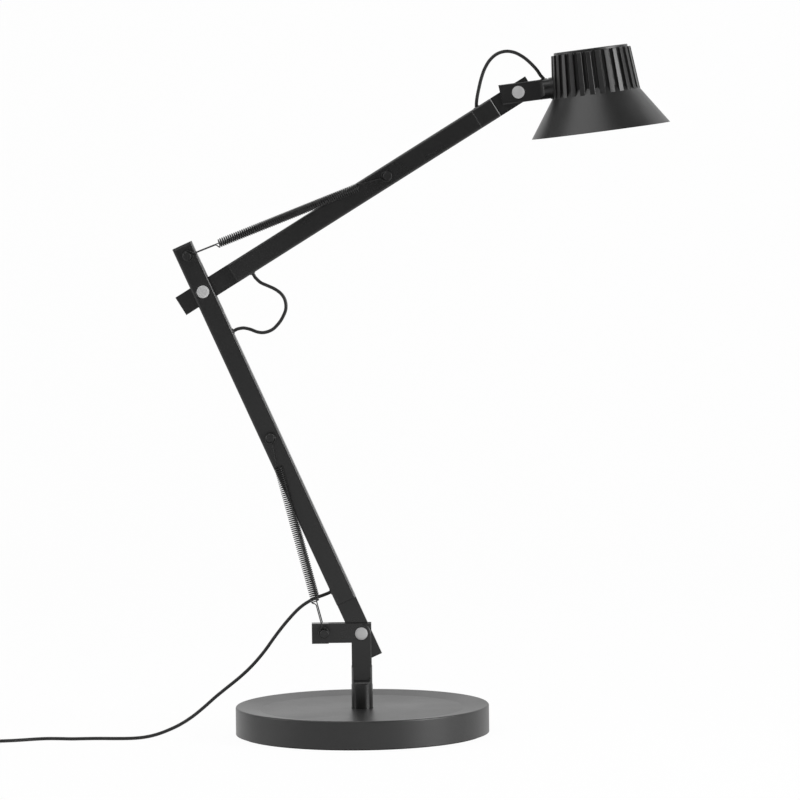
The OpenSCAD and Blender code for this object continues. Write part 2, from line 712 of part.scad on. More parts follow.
module ballast_ring() color(steel) difference() {
  translate([0, 0, ballast_z]) cylinder(r = inner_base_r - 0.5, h = ballast_t, $fn = 128);
  cylinder(d = ballast_hole_d, h = base_h);
  for (a = [45 : 90 : 359]) {
    rotate(a) translate([ballast_screw_r, 0, 0]) {
      cylinder(d = screw_d + 0.4, h = base_h);
      cylinder(d = screw_head_d + 0.6, h = ballast_z + screw_head_t);
    }
  }
}

module ballast_screws() color(silver) {
  for (a = [45 : 90 : 359]) {
    rotate(a) translate([ballast_screw_r, 0, ballast_z]) difference() {
      union() {
        cylinder(d = screw_head_d, h = screw_head_t);
        cylinder(d = screw_d, h = ceiling_base_z - ballast_z + 1);
      }
      translate([0, 0, -eps]) cylinder(d = screw_d * 0.8, h = 2 + eps, $fn = 6);
    }
  }
}

module swivel_bush() color(jet) difference() {
  translate([0, 0, bush_z]) cylinder(d = bush_d, h = bush_len);
  cylinder(d = spigot_d + 2 * run_gap, h = base_h);
}

module post_bracket() color(black) difference() {
  union() {
    difference() {
      translate([0, 0, shoulder_z]) cylinder(d = post_d, h = slot_bottom_z - shoulder_z);
      mill_flats(flat_z, pivot_z);
      for (s = [-1, 1]) {
        translate([s * (shank_w / 2 + post_d / 2), 0, flat_z - run_out_r]) {
          translate([-post_d / 2, -post_d, 0]) cube([post_d, 2 * post_d, pivot_z]);
        }
      }
    }
    translate([0, 0, bush_z]) cylinder(d = spigot_d, h = shoulder_z - bush_z);
    translate([0, 0, post_nut_z - 0.8]) cylinder(d = stud_thread_d, h = bush_z - post_nut_z + 0.8);
    block(-leg_w / 2, leg_w / 2, fork_t, slot_bottom_z - 1, bracket_mid + bracket_h / 2);
    block(-bracket_reach, 0, fork_t, relief + bracket_mid - bracket_h / 2, bracket_mid + bracket_h / 2);
    block(-bracket_reach, -slot_reach, fork_t, bracket_mid - bracket_h / 2, pivot_z);
  }
  block(-slot_reach, post_d, fork_gap, slot_bottom_z, pivot_z + bracket_h);
  translate(lower_p) pivot_holes(fork_t / 2);
  translate(bracket_stud_p) bar_y(stud_bolt_d + 2 * seat_gap, -fork_t, fork_t);
  machined_step();
  mirror([0, 1, 0]) machined_step();
}

// Sloping step outside the machined front face: round the pivot, down the leg and round its foot
module machined_step() {
  front = -fork_t / 2;
  deep = face_step + 1;
  slope = face_slope / face_step;
  corner_x = face_r - face_corner_r;
  corner_z = flat_z + face_corner_r;
  difference() {
    translate([0, front - 1, flat_z]) cube([post_d, deep, pivot_z + post_d - flat_z]);
    translate([0, 0, corner_z]) linear_extrude(pivot_z - corner_z) polygon([
      [-1, front - 2], [face_r - 2 * slope, front - 2], [face_r + deep * slope, front + deep],
      [-1, front + deep]
    ]);
    translate([-1, front - 2, flat_z - 1]) cube([corner_x + 1, 2 * deep + 1, face_corner_r + 1.5]);
    for (p = [[0, pivot_z, face_r], [corner_x, corner_z, face_corner_r]]) {
      translate([p[0], front + deep, p[1]]) rotate([90, 0, 0]) {
        cylinder(r1 = p[2] + deep * slope, r2 = p[2] - slope, h = deep + 1);
      }
    }
  }
}

module post_washer() color(steel) difference() {
  translate([0, 0, post_washer_z]) cylinder(d = post_washer_d, h = post_washer_t);
  cylinder(d = stud_thread_d + 0.2, h = base_h);
}

module post_nut() color(steel) difference() {
  translate([0, 0, post_nut_z]) cylinder(d = 1.8 * stud_thread_d, h = post_nut_t, $fn = 6);
  cylinder(d = stud_thread_d + 2 * seat_gap, h = base_h);
}

module lower_pivot_pin() color(silver) translate(lower_p) pivot_pin(fork_t / 2);
module lower_pivot_screw() color(silver) translate(lower_p) pivot_screw(fork_t / 2);
module lower_pivot_washers() color(white) translate(lower_p) {
  washer_pair(leg_w - 1.2, tongue_t / 2 + washer_gap / 2, washer_t, shaft_d + 0.4);
}
module bracket_spring_stud() color(jet) translate(bracket_stud_p) spring_stud(fork_t / 2);

module lead_cable() color(jet) {
  route = concat(stretch(lead_exit, lead_stub), lead_route, [coil_start]);
  tube_along(smooth(route, 2), cable_d, cable_sides);
}

module lead_coil() {
  echo(lead_coil_least_gap = least_gap(coil_path, cable_d, coil_rings / 2));
  color(jet) tube_along(concat(coil_path, [coil_end]), cable_d, 6);
}

// Band round the coil's bundle at the side that faces the base
module coil_tie() color(grey) {
  low_r = coil_mid_r - coil_spread - cable_d / 2 - tie_gap;
  high_r = coil_mid_r + coil_spread + cable_d / 2 + tie_gap;
  high_z = coil_top_z + cable_d / 2 + tie_gap;
  translate([coil_c[0], coil_y, 0]) rotate(-60) difference() {
    block(low_r - tie_t, high_r + tie_t, tie_w, 0, high_z + tie_t);
    block(low_r, high_r, tie_w + eps, tie_t, high_z);
  }
}

module supply_tail() color(jet) tube_along(supply_tail_route, cable_d, cable_sides);

module supply_relief() color(jet) {
  translate([coil_last[0], relief_y, coil_top_z]) difference() {
    rotate([90, 0, 0]) cylinder(d1 = cable_d + 1.6, d2 = cable_d + 6, h = relief_len);
    for (i = [1 : 4]) {
      translate([0, -2 - 3.6 * i, 0]) rotate([90, 0, 0]) difference() {
        cylinder(d = supply_w, h = 1.2);
        translate([0, 0, -eps]) cylinder(d = cable_d + 1.2, h = 1.2 + 2 * eps);
      }
    }
  }
}

module supply_outline(inset) {
  round_w = supply_w / 2 - supply_round;
  round_h = supply_h / 2 - supply_round;
  square([supply_w - 2 * inset, 2 * round_h], center = true);
  square([2 * round_w, supply_h - 2 * inset], center = true);
  for (sx = [-1, 1], sz = [-1, 1]) {
    translate([sx * round_w, sz * round_h]) circle(r = supply_round - inset);
  }
}

module supply_case() color(jet) translate([coil_last[0], supply_y, coil_top_z]) {
  rotate([90, 0, 0]) difference() {
    linear_extrude(supply_len - supply_cover_t) supply_outline(0);
    translate([0, 0, supply_cover_t]) linear_extrude(supply_len) supply_outline(supply_wall);
  }
}

module supply_cover() color(jet) translate([coil_last[0], supply_y, coil_top_z]) {
  rotate([90, 0, 0]) difference() {
    union() {
      translate([0, 0, supply_len - supply_cover_t]) linear_extrude(supply_cover_t) supply_outline(0);
      translate([0, 0, supply_len - supply_cover_t - lip_depth]) {
        linear_extrude(lip_depth) supply_outline(supply_wall + seat_gap);
      }
    }
    for (s = [-1, 1]) {
      translate([s * plug_pin_gap / 2, 0, 0]) {
        cylinder(r = plug_pin_r + seat_gap, h = supply_len + eps);
      }
    }
  }
}

module plug_pins() color(silver) translate([coil_last[0], supply_y, coil_top_z]) {
  for (s = [-1, 1]) {
    translate([s * plug_pin_gap / 2, plug_pin_root - supply_len, 0]) rotate([90, 0, 0]) {
      cylinder(r = plug_pin_r, h = plug_pin_len + plug_pin_root);
    }
  }
}

module lower_arm_tube() color(black) on_lower() difference() {
  arm_bar(tube_start, tube_end - end_cap_t, joint_bevel, cap_joint_bevel);
  block(tube_start - eps, tube_end, inner_w, -inner_w / 2, inner_w / 2);
  block(lower_len - slot_half, lower_len + slot_half, fork_gap, -tube_w, tube_w);
  translate([lower_len, 0, 0]) pivot_holes(tube_w / 2);
  for (p = [[arm_stud_x, 0, 0], [lower_len + over_stud_x, 0, -over_stud_shift]]) {
    translate(p) bar_y(stud_bolt_d + 2 * seat_gap, -tube_w, tube_w);
  }
  cable_hole(lead_exit_x, 1);
  cable_hole(lower_len - loop_low_x, -1);
}

module lower_tongue() color(jet) on_lower() difference() {
  union() {
    block(-tongue_tail, tube_start, tongue_t, -tube_w / 2, tube_w / 2);
    block(tube_start, tube_start + insert_len, insert_w, -insert_w / 2, insert_w / 2);
  }
  bar_y(bore_d, -tube_w, tube_w);
  cable_channel(lead_exit_x, tube_start + insert_len, 1);
}

// Channel in an insert for a cable that comes in at x through the side s
module cable_channel(x, x_end, s) {
  mirror([0, 0, s > 0 ? 0 : 1]) {
    block(x - channel_w / 2, x_end + eps, channel_w, -channel_floor, tube_w);
  }
}

module lower_end_cap() color(black) on_lower() {
  arm_bar(tube_end - end_cap_t, tube_end, cap_joint_bevel, joint_bevel);
  difference() {
    block(tube_end - end_cap_t - 4, tube_end - end_cap_t, insert_w, -insert_w / 2, insert_w / 2);
    block(tube_end - end_cap_t - 5, tube_end - end_cap_t - 1, inner_w - 3, -inner_w / 2 + 1.5,
      inner_w / 2 - 1.5);
  }
}

module lower_spring_stud() color(jet) on_lower() translate([arm_stud_x, 0, 0]) {
  spring_stud(tube_w / 2);
}
module elbow_spring_stud() color(jet) translate(over_stud_p) rotate([0, -lower_a, 0]) {
  spring_stud(tube_w / 2);
}
module elbow_pivot_pin() color(silver) on_lower() translate([lower_len, 0, 0]) {
  pivot_pin(tube_w / 2);
}
module elbow_pivot_screw() color(silver) on_lower() translate([lower_len, 0, 0]) {
  pivot_screw(tube_w / 2);
}
module elbow_spacers() color(white) on_lower() translate([lower_len, 0, 0]) {
  gap = inner_w / 2 - tongue_t / 2;
  washer_pair(inner_w - 1, tongue_t / 2 + washer_gap / 2, gap - washer_gap, shaft_d + 0.2);
}
module lower_grommets() color(jet) on_lower() {
  translate([lead_exit_x, 0, side]) grommet(tube_wall);
  translate([lower_len - loop_low_x, 0, -side]) mirror([0, 0, 1]) grommet(tube_wall);
}
// Cable inside an arm: from its side s0 at x0, past a stud, to its side s1 at x1
function inner_route(x0, s0, x1, s1) = [
  [x0, 0, s0 * (side - cable_gap)], [x0, 0, s0 * (side - 1.8)], [x0, 0, s0 * (side - 3)],
  [x0 + 1.7, 0, s0 * 3.6],
  [x0 + 6, 0, s0 * 1.4], [x0 + 12, 0, s0 * cable_mid], [arm_stud_x - stud_run, 0, 2.5],
  [arm_stud_x - stud_pass, 0, stud_clear_z], [arm_stud_x + stud_pass, 0, stud_clear_z],
  [arm_stud_x + stud_run, 0, 2.5], [x1 - 12, 0, s1 * cable_mid]
];
function square_end(x, s) = [
  [x - 6, 0, s * 1.4], [x - 1.7, 0, s * 3.6], [x, 0, s * (side - 3)],
  [x, 0, s * (side - 1.8)], [x, 0, s * (side - cable_gap)]
];
module lower_arm_cable() color(jet) {
  far = lower_len - loop_low_x;
  local = concat(inner_route(lead_exit_x, 1, far, -1), square_end(far, -1));
  tube_along([for (p = smooth(local, 3)) place(lower_p, lower_a, p)], cable_d, cable_sides);
}
module lower_spring(s) {
  path = spring_path(bracket_stud_p, arm_stud_p, s * spring_y, lower_stem_a, lower_stem_b);
  echo(lower_spring_least_gap = least_gap(path, wire_d, 4));
  color(jet) tube_along(path, wire_d, wire_sides);
}
module lower_spring_front() lower_spring(-1);
module lower_spring_rear() lower_spring(1);

module upper_arm_tube() color(black) on_upper_bar() difference() {
  arm_bar(upper_tube_start, upper_tube_end, joint_bevel, joint_bevel);
  block(0, upper_len, inner_w, -inner_w / 2, inner_w / 2);
  translate([arm_stud_x, 0, 0]) bar_y(stud_bolt_d + 2 * seat_gap, -tube_w, tube_w);
  cable_hole(loop_high_x, -1);
}
module elbow_tongue() color(jet) difference() {
  insert_end = upper_tube_start + insert_len;
  on_upper_bar() difference() {
    union() {
      block(-tongue_tail, upper_tube_start, tongue_t, -tube_w / 2, tube_w / 2);
      block(upper_tube_start, insert_end, insert_w, -insert_w / 2, insert_w / 2);
    }
    cable_channel(loop_high_x, insert_end, -1);
  }
  on_upper() bar_y(bore_d, -tube_w, tube_w);
}
module head_tongue() color(black) difference() {
  insert_x = upper_tube_end - ferrule_insert_len;
  on_upper_bar() difference() {
    union() {
      block(insert_x, upper_tube_end, insert_w, -insert_w / 2, insert_w / 2);
      arm_bar(upper_tube_end, ferrule_end, joint_bevel, ferrule_bevel);
      block(ferrule_end, upper_len + tongue_tip, tongue_t, -tube_w / 2, tube_w / 2);
    }
    block(insert_x - eps, head_loop_x + channel_w / 2, channel_w, -channel_floor, side - 2 * tube_wall);
    block(insert_x - eps, upper_tube_end - tube_wall, channel_w, 0, tube_w);
    translate([head_loop_x, 0, side]) sleeve_hole(exit_lean, 3 * tube_wall);
  }
  on_upper() translate([upper_len, 0, 0]) bar_y(bore_d, -tube_w, tube_w);
}
module upper_spring_stud() color(jet) on_upper_bar() translate([arm_stud_x, 0, 0]) {
  spring_stud(tube_w / 2);
}
module upper_grommets() color(jet) on_upper_bar() {
  translate([loop_high_x, 0, -side]) mirror([0, 0, 1]) grommet(tube_wall);
  translate([head_loop_x, 0, side]) sleeve(exit_lean);
}
module upper_arm_cable() color(jet) {
  end = [head_loop_x, 0, side];
  local = concat(inner_route(loop_high_x, -1, head_loop_x - 4, 1), [
    [head_loop_x - 9.5, 0, 1.6], end - 7 * lean_out, end - 3.6 * lean_out, end - cable_gap * lean_out
  ]);
  tube_along([for (p = smooth(local, 3)) place(elbow_p, upper_rise, p - [0, 0, upper_drop])],
    cable_d, cable_sides);
}
module upper_spring(s) {
  path = spring_path(over_stud_p, upper_stud_p, s * spring_y, upper_stem_a, upper_stem_b);
  echo(upper_spring_least_gap = least_gap(path, wire_d, 4));
  color(jet) tube_along(path, wire_d, wire_sides);
}
module upper_spring_front() upper_spring(-1);
module upper_spring_rear() upper_spring(1);
module elbow_cable_loop() color(jet) {
  route = concat(stretch(loop_high, loop_high_stub), [for (p = elbow_loop_route) elbow_p + p],
    stretch(loop_low_stub, loop_low));
  tube_along(smooth(route, 2), cable_d, cable_sides);
}

module head_fork() color(black) on_head() difference() {
  union() {
    difference() {
      translate([0, 0, -neck_drop]) bar_x(neck_d, head_flat_x, neck_seat_x);
      translate([head_flat_x, 0, -neck_drop]) rotate([0, -90, 0]) mill_flats(0, neck_d);
    }
    translate([0, 0, -neck_drop]) bar_x(neck_spigot_d, neck_seat_x - 1, spigot_end_x);
    translate([0, 0, -neck_drop]) intersection() {
      translate([0, fork_t / 2, 0]) rotate([90, 0, 0]) linear_extrude(fork_t) polygon([
        [-cheek_back, head_fork_h / 2], [cheek_slant - cheek_back, -head_fork_h / 2],
        [head_flat_x + 1, -head_fork_h / 2], [head_flat_x + 1, head_fork_h / 2]
      ]);
      translate([-2 * cheek_back, 0, 0]) rotate([90, 0, 90]) linear_extrude(4 * cheek_back) polygon([
        for (c = [[1, 1], [-1, 1], [-1, -1], [1, -1]], i = [0, 1])
          let (flat = c[0] * c[1] > 0 ? i == 0 : i == 1)
          flat ? [c[0] * fork_t / 2, c[1] * (head_fork_h / 2 - fork_bevel_w)]
            : [c[0] * (fork_t / 2 - fork_bevel_t), c[1] * head_fork_h / 2]
      ]);
    }
  }
  block(-2 * cheek_back, head_slot_reach, fork_gap, -neck_d, neck_d);
  pivot_holes(fork_t / 2);
  // Cable way from the top of the neck to the lamp chamber
  translate([neck_exit_x, 0, neck_top]) sleeve_hole(-exit_lean, neck_d / 2 / cos(exit_lean));
  translate([0, 0, -neck_drop]) bar_x(neck_bore_d, neck_bend_x - 2, spigot_end_x + eps);
}

module head_pivot_pin() color(silver) on_head() pivot_pin(fork_t / 2);
module head_pivot_screw() color(silver) on_head() pivot_screw(fork_t / 2);
module head_pivot_washers() color(white) on_head() {
  washer_pair(head_fork_h - 2, tongue_t / 2 + washer_gap / 2, washer_t, shaft_d + 0.4);
}
module neck_grommet() color(jet) on_head() translate([neck_exit_x, 0, neck_top]) sleeve(-exit_lean);
module neck_set_screw() color(steel) on_head() {
  translate([neck_screw_x, 0, -neck_boss_d / 2 - neck_drop + neck_screw_sink]) difference() {
    cylinder(d = neck_screw_d, h = neck_boss_d / 2 - neck_spigot_d / 2 - neck_screw_sink);
    translate([0, 0, -eps]) cylinder(d = neck_screw_d * 0.6, h = 1.5 + eps, $fn = 6);
  }
}

module fin_ring() difference() {
  land_x = groove_depth - groove_w / 2 - fin_bevel_t;
  flare = groove_w * fin_bevel_w / fin_bevel_t;
  rotate_extrude() polygon([
    [chamber_r + 1, -fin_foot], [fin_foot_r, -fin_foot],
    [fin_top_r + fin_bevel_w * tan(fin_lean), fin_top - fin_bevel_w], [fin_top_r - fin_bevel_t, fin_top],
    [chamber_r + 1, fin_top]
  ]);
  for (i = [0 : fin_count - 1]) {
    rotate(360 * i / fin_count - 90) translate([floor_r(-fin_foot) + groove_w / 2, 0, -fin_foot]) {
      rotate([0, -fin_lean, 0]) translate([0, 0, -2]) linear_extrude(fin_top + fin_foot + 6) {
        circle(d = groove_w);
        translate([0, -groove_w / 2]) square([2 * groove_w, groove_w]);
        polygon([
          [land_x, -groove_w / 2], [land_x + groove_w, -groove_w / 2 - flare],
          [land_x + groove_w, groove_w / 2 + flare], [land_x, groove_w / 2]
        ]);
      }
    }
  }
}

module head_housing() color(black) on_head_axis() difference() {
  cone_top = (rim_r - rim_drop * tan(shade_angle) - floor_r(0)) / (tan(shade_angle) - tan(fin_lean));
  union() {
    rotate_extrude($fn = 96) polygon([
      [0, -rim_drop], [rim_r, -rim_drop], [floor_r(cone_top), cone_top],
      [floor_r(fin_top), fin_top], [0, fin_top]
    ]);
    fin_ring();
    translate([0, 0, -neck_drop]) bar_x(neck_boss_d, neck_boss_x - head_reach, -chamber_r - 1);
  }
  rotate_extrude($fn = 96) polygon([
    [0, -rim_drop - eps], [rim_r - rim_edge, -rim_drop - eps], [rim_r - rim_edge, -rim_drop],
    [shade_r(-fin_foot) - shade_wall, -fin_foot - 0.6], [lens_r, -fin_foot - 0.6],
    [lens_r, -lens_seat], [chamber_r, -lens_seat], [chamber_r, ceiling_z], [0, ceiling_z]
  ]);
  difference() {
    translate([0, 0, upper_floor_z]) cylinder(r = pocket_r, h = fin_top);
    for (a = [0 : 120 : 359]) {
      rotate(a) translate([dimmer_board_r - board_post_d, 0, upper_floor_z - eps]) {
        cylinder(d = board_post_d, h = board_z - upper_floor_z + eps);
      }
    }
  }
  // Neck socket, its set screw and the cable way into the chamber
  translate([0, 0, -neck_drop]) {
    bar_x(neck_d + 2 * seat_gap, -head_reach, neck_seat_x - head_reach);
    bar_x(neck_spigot_d + 2 * seat_gap, -head_reach, spigot_end_x - head_reach);
    bar_x(neck_bore_d, -head_reach, -chamber_r + 2);
  }
  translate([neck_screw_x - head_reach, 0, -neck_boss_d - neck_drop]) {
    cylinder(d = neck_screw_d + 2 * seat_gap, h = neck_boss_d);
  }
  for (a = [0 : 120 : 359]) {
    rotate(a) translate([led_screw_r, 0, ceiling_z - eps]) cylinder(d = 3.1, h = web_t);
  }
  translate([-riser_r, 0, 0]) cylinder(d = riser_hole_d, h = fin_top);
  translate([0, link_r, ceiling_z - eps]) {
    block(-link_w / 2 - link_gap, link_w / 2 + link_gap, link_t + 2 * link_gap, 0, fin_top);
  }
}

module head_cap() color(black) on_head_axis() {
  bevel = 0.6;
  translate([0, 0, fin_top]) rotate_extrude($fn = 96) polygon([
    [0, 0], [head_cap_r, 0], [head_cap_r, head_cap_t - bevel], [head_cap_r - bevel, head_cap_t],
    [0, head_cap_t]
  ]);
  lip_r = pocket_r - seat_gap;
  translate([0, 0, fin_top - lip_depth]) difference() {
    cylinder(r = lip_r, h = lip_depth);
    translate([0, 0, -eps]) cylinder(r = lip_r - lip_wall, h = lip_depth + eps);
  }
}

// Down the leaning hole, round a bend into the neck's bore, then up to the dimmer board
module head_cable() color(jet) {
  start = [neck_exit_x, 0, neck_top];
  bend_x = neck_bend_x + cable_bend_r * tan(neck_bend / 2);
  entry = [for (a = [neck_bend : -neck_bend / 3 : -1])
    [bend_x - cable_bend_r * sin(a), 0, -neck_drop + cable_bend_r * (1 - cos(a))]];
  turn = [for (a = [0 : 18 : 90])
    [spigot_end_x + cable_bend_r * sin(a), 0, -neck_drop + cable_bend_r * (1 - cos(a))]];
  route = concat([start - cable_gap * neck_in, start - 3 * neck_in], entry, turn,
    [[head_reach - riser_r, 0, ceiling_z], [head_reach - riser_r, 0, board_z]]);
  tube_along([for (p = route) place(head_p, head_tilt, p)], cable_d, cable_sides);
}
module head_cable_loop() color(jet) {
  route = concat(stretch(head_loop, head_loop_stub), [for (p = head_loop_route) head_p + p],
    stretch(neck_exit_stub, neck_exit));
  tube_along(smooth(route, 2), cable_d, cable_sides);
}

module led_board() color(white) on_head_axis() difference() {
  translate([0, 0, ceiling_z - board_t]) cylinder(r = led_board_r, h = board_t);
  for (a = [0 : 120 : 359]) {
    rotate(a) translate([led_screw_r, 0, 0]) cylinder(d = 3.4, h = fin_top);
  }
}
module led_emitter() color([0.95, 0.85, 0.35]) on_head_axis() {
  translate([0, 0, ceiling_z - board_t - emitter_t]) cylinder(r = 7, h = emitter_t);
}
module led_screws() color(steel) on_head_axis() {
  for (a = [0 : 120 : 359]) {
    rotate(a) translate([led_screw_r, 0, ceiling_z - board_t - 2]) difference() {
      union() {
        cylinder(d = 5.4, h = 2);
        cylinder(d = 3, h = 2 + board_t + web_t - 0.8);
      }
      translate([0, 0, -eps]) cylinder(d = 2.4, h = 1.2 + eps, $fn = 6);
    }
  }
}
module reflector() color(white) on_head_axis() {
  top = ceiling_z - board_t - 0.1;
  low = 0.1 - lens_seat;
  rotate_extrude($fn = 96) polygon([
    [reflector_low_r, low], [chamber_r - 0.3, low], [chamber_r - 0.3, low + 0.8],
    [reflector_low_r + reflector_wall, low + 0.8], [reflector_top_r + reflector_wall, top],
    [reflector_top_r, top]
  ]);
}
module lens() color([0.95, 0.95, 0.95, 0.8]) on_head_axis() {
  translate([0, 0, -lens_seat - lens_t]) cylinder(r = lens_r - 0.2, h = lens_t);
}
module lens_ring() color(black) on_head_axis() difference() {
  translate([0, 0, -lens_seat - lens_t - lens_ring_t]) cylinder(r = lens_r - seat_gap, h = lens_ring_t);
  translate([0, 0, -rim_drop]) cylinder(r = chamber_r + 0.5, h = rim_drop);
}
module dimmer_board() color([0.1, 0.35, 0.2]) on_head_axis() {
  translate([0, 0, board_z]) cylinder(r = dimmer_board_r, h = board_t);
  translate([-9, -4, board_z + board_t]) cube([8, 8, 1.6]);
  translate([8, -10, board_z + board_t]) cylinder(d = 6, h = 3);
  translate([6, 4, board_z + board_t]) cube([9, 6, 2.4]);
}
module board_link() color(jet) on_head_axis() translate([0, link_r, 0]) {
  block(-link_w / 2, link_w / 2, link_t, ceiling_z, board_z);
}

base_cover();
bottom_plate();
foot_pad();
ballast_ring();
ballast_screws();
swivel_bush();
post_bracket();
post_washer();
post_nut();
lower_pivot_pin();
lower_pivot_screw();
lower_pivot_washers();
bracket_spring_stud();
lead_cable();
lead_coil();
coil_tie();
supply_tail();
supply_relief();
supply_case();
supply_cover();
plug_pins();
lower_arm_tube();
lower_tongue();
lower_end_cap();
lower_spring_stud();
elbow_spring_stud();
elbow_pivot_pin();
elbow_pivot_screw();
elbow_spacers();
lower_grommets();
lower_arm_cable();
lower_spring_front();
lower_spring_rear();
upper_arm_tube();
elbow_tongue();
head_tongue();
upper_spring_stud();
upper_grommets();
upper_arm_cable();
upper_spring_front();
upper_spring_rear();
elbow_cable_loop();
head_fork();
head_housing();
head_cap();
head_pivot_pin();
head_pivot_screw();
head_pivot_washers();
neck_set_screw();
neck_grommet();
head_cable();
head_cable_loop();
led_board();
led_emitter();
led_screws();
reflector();
lens();
lens_ring();
dimmer_board();
board_link();
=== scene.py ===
import math
import bpy
from mathutils import Matrix, Vector


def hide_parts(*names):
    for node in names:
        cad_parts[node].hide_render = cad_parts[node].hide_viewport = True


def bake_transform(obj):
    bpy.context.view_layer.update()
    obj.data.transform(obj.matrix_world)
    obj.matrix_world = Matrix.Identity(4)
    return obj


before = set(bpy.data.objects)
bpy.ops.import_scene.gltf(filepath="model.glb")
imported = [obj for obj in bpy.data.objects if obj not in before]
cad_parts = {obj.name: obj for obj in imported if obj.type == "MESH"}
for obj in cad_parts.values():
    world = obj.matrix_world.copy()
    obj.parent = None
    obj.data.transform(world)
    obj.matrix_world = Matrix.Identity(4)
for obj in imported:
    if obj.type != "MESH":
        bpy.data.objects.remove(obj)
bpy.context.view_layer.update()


# Camera, at the photograph's viewing angle
cameraSettings = {
    "place": (0.0392, -4.5, 0.61095),
    "pitch": 3.746,
    "roll": -0.70,
    "lens": 215.1,
    "sensor": 36,
    "clip": (0.05, 60),
}


def makeCamera(settings):
    data = bpy.data.cameras.new("camera")
    data.sensor_width = settings["sensor"]
    data.lens = settings["lens"]
    data.dof.use_dof = False
    data.clip_start, data.clip_end = settings["clip"]
    camera = bpy.data.objects.new("camera", data)
    bpy.context.scene.collection.objects.link(camera)
    turn = Matrix.Rotation(math.radians(90 - settings["pitch"]), 4, "X")
    roll = Matrix.Rotation(math.radians(settings["roll"]), 4, "Z")
    camera.matrix_world = Matrix.Translation(settings["place"]) @ turn @ roll
    bpy.context.scene.camera = camera


makeCamera(cameraSettings)
print("camera done")


# Sizes shared by the pieces, in metres and degrees
lamp = {
    "lowerPivot": Vector((0, 0, 0.0959)),
    "lowerAngle": 114,
    "lowerLength": 0.356,
    "upperAngle": 31.6,
    "upperLength": 0.3505,
    "headAngle": 6.8,
    "tubeSide": 0.0194,
    "upperDrop": 0.0006,
    "springY": 0.0145,
    "cordSides": 16,
    "springSides": 8,
}


# Point x along and z across an arm that starts at origin and points at angle in the XZ plane
def placeOn(origin, angle, x, z=0.0, y=0.0):
    a = math.radians(angle)
    return Vector((
        origin[0] + x * math.cos(a) - z * math.sin(a),
        origin[1] + y,
        origin[2] + x * math.sin(a) + z * math.cos(a),
    ))


elbow = placeOn(lamp["lowerPivot"], lamp["lowerAngle"], lamp["lowerLength"])
headPivot = placeOn(elbow, lamp["upperAngle"], lamp["upperLength"])


# Smooth curve through given points, with steps parts between neighbours
def smoothPath(points, steps):
    path = []
    for i in range(len(points) - 1):
        a = points[max(i - 1, 0)]
        b = points[i]
        c = points[i + 1]
        d = points[min(i + 2, len(points) - 1)]
        for k in range(steps):
            t = k / steps
            bend = (2 * a - 5 * b + 4 * c - d) * t * t + (3 * b - a - 3 * c + d) * t ** 3
            path.append(0.5 * (2 * b + (c - a) * t + bend))
    path.append(points[-1].copy())
    return path


def pathLength(path):
    return sum((path[i + 1] - path[i]).length for i in range(len(path) - 1))


# Straight first stretch of a cord, from a to b
def stretch(a, b):
    return [a, (a + b) / 2, b]


# Round tube along a path, its frames turned as little as they can be, with closed ends
def tubeMesh(name, path, radius, sides):
    mesh = bpy.data.meshes.new(name)
    count = len(path)
    directions = [(path[min(i + 1, count - 1)] - path[max(i - 1, 0)]).normalized() for i in range(count)]
    start = Vector((0, 1, 0)) if abs(directions[0].y) < 0.9 else Vector((1, 0, 0))
    across = directions[0].cross(start).normalized()
    points = []
    for i in range(count):
        across = (across - across.dot(directions[i]) * directions[i]).normalized()
        other = directions[i].cross(across)
        for k in range(sides):
            a = 2 * math.pi * k / sides
            points.append(path[i] + radius * (math.cos(a) * across + math.sin(a) * other))
    faces = []
    for i in range(count - 1):
        for k in range(sides):
            n = (k + 1) % sides
            faces.append((i * sides + k, i * sides + n, (i + 1) * sides + n, (i + 1) * sides + k))
    faces.append(tuple(reversed(range(sides))))
    faces.append(tuple(range((count - 1) * sides, count * sides)))
    mesh.from_pydata([tuple(p) for p in points], [], faces)
    mesh.polygons.foreach_set("use_smooth", [True] * (len(faces) - 2) + [False] * 2)
    mesh.update()
    return mesh


def newObject(name, mesh):
    piece = bpy.data.objects.new(name, mesh)
    bpy.context.scene.collection.objects.link(piece)
    return piece


# Free lead: from the lower arm down to the table, then a stored coil and its plug-in supply
leadSettings = {
    "diameter": 0.0032,
    "exit": 0.0475,
    "stub": 0.005,
    "steps": 4,
    "route": [  # mm in the shared frame
        (-46, -3, 128.5), (-57.5, -6, 121.5), (-69, -8, 110), (-80.5, -9.5, 96), (-92, -11, 80.5),
        (-103.5, -12.5, 67.5), (-115, -14, 57), (-126.5, -15.5, 48), (-138, -17, 39),
        (-149, -18, 29.5), (-160.5, -19.5, 20.5), (-172, -21, 13.5), (-183, -22, 8.5),
        (-194.5, -23.5, 4.6), (-206, -25, 2.4), (-218, -26.5, 1.7), (-233, -26.5, 1.7),
        (-248, -24.5, 1.7), (-262, -24.5, 1.7), (-274, -25, 1.7), (-285, -22.5, 1.7),
        (-297, -21, 1.7), (-308, -23.5, 1.7), (-319, -28, 1.7), (-330, -32, 1.7),
        (-341, -35.5, 1.9), (-354, -38, 2.2),
    ],
    "coilNorth": (-0.374, -0.0385),
    "coilTurns": 11.25,
    "coilLayers": 4,
    "coilMidRadius": 0.019,
    "coilStep": 0.0039,
    "coilLift": 0.0025,
    "coilRings": 40,
    "tail": 0.012,
    "tailParts": 4,
}


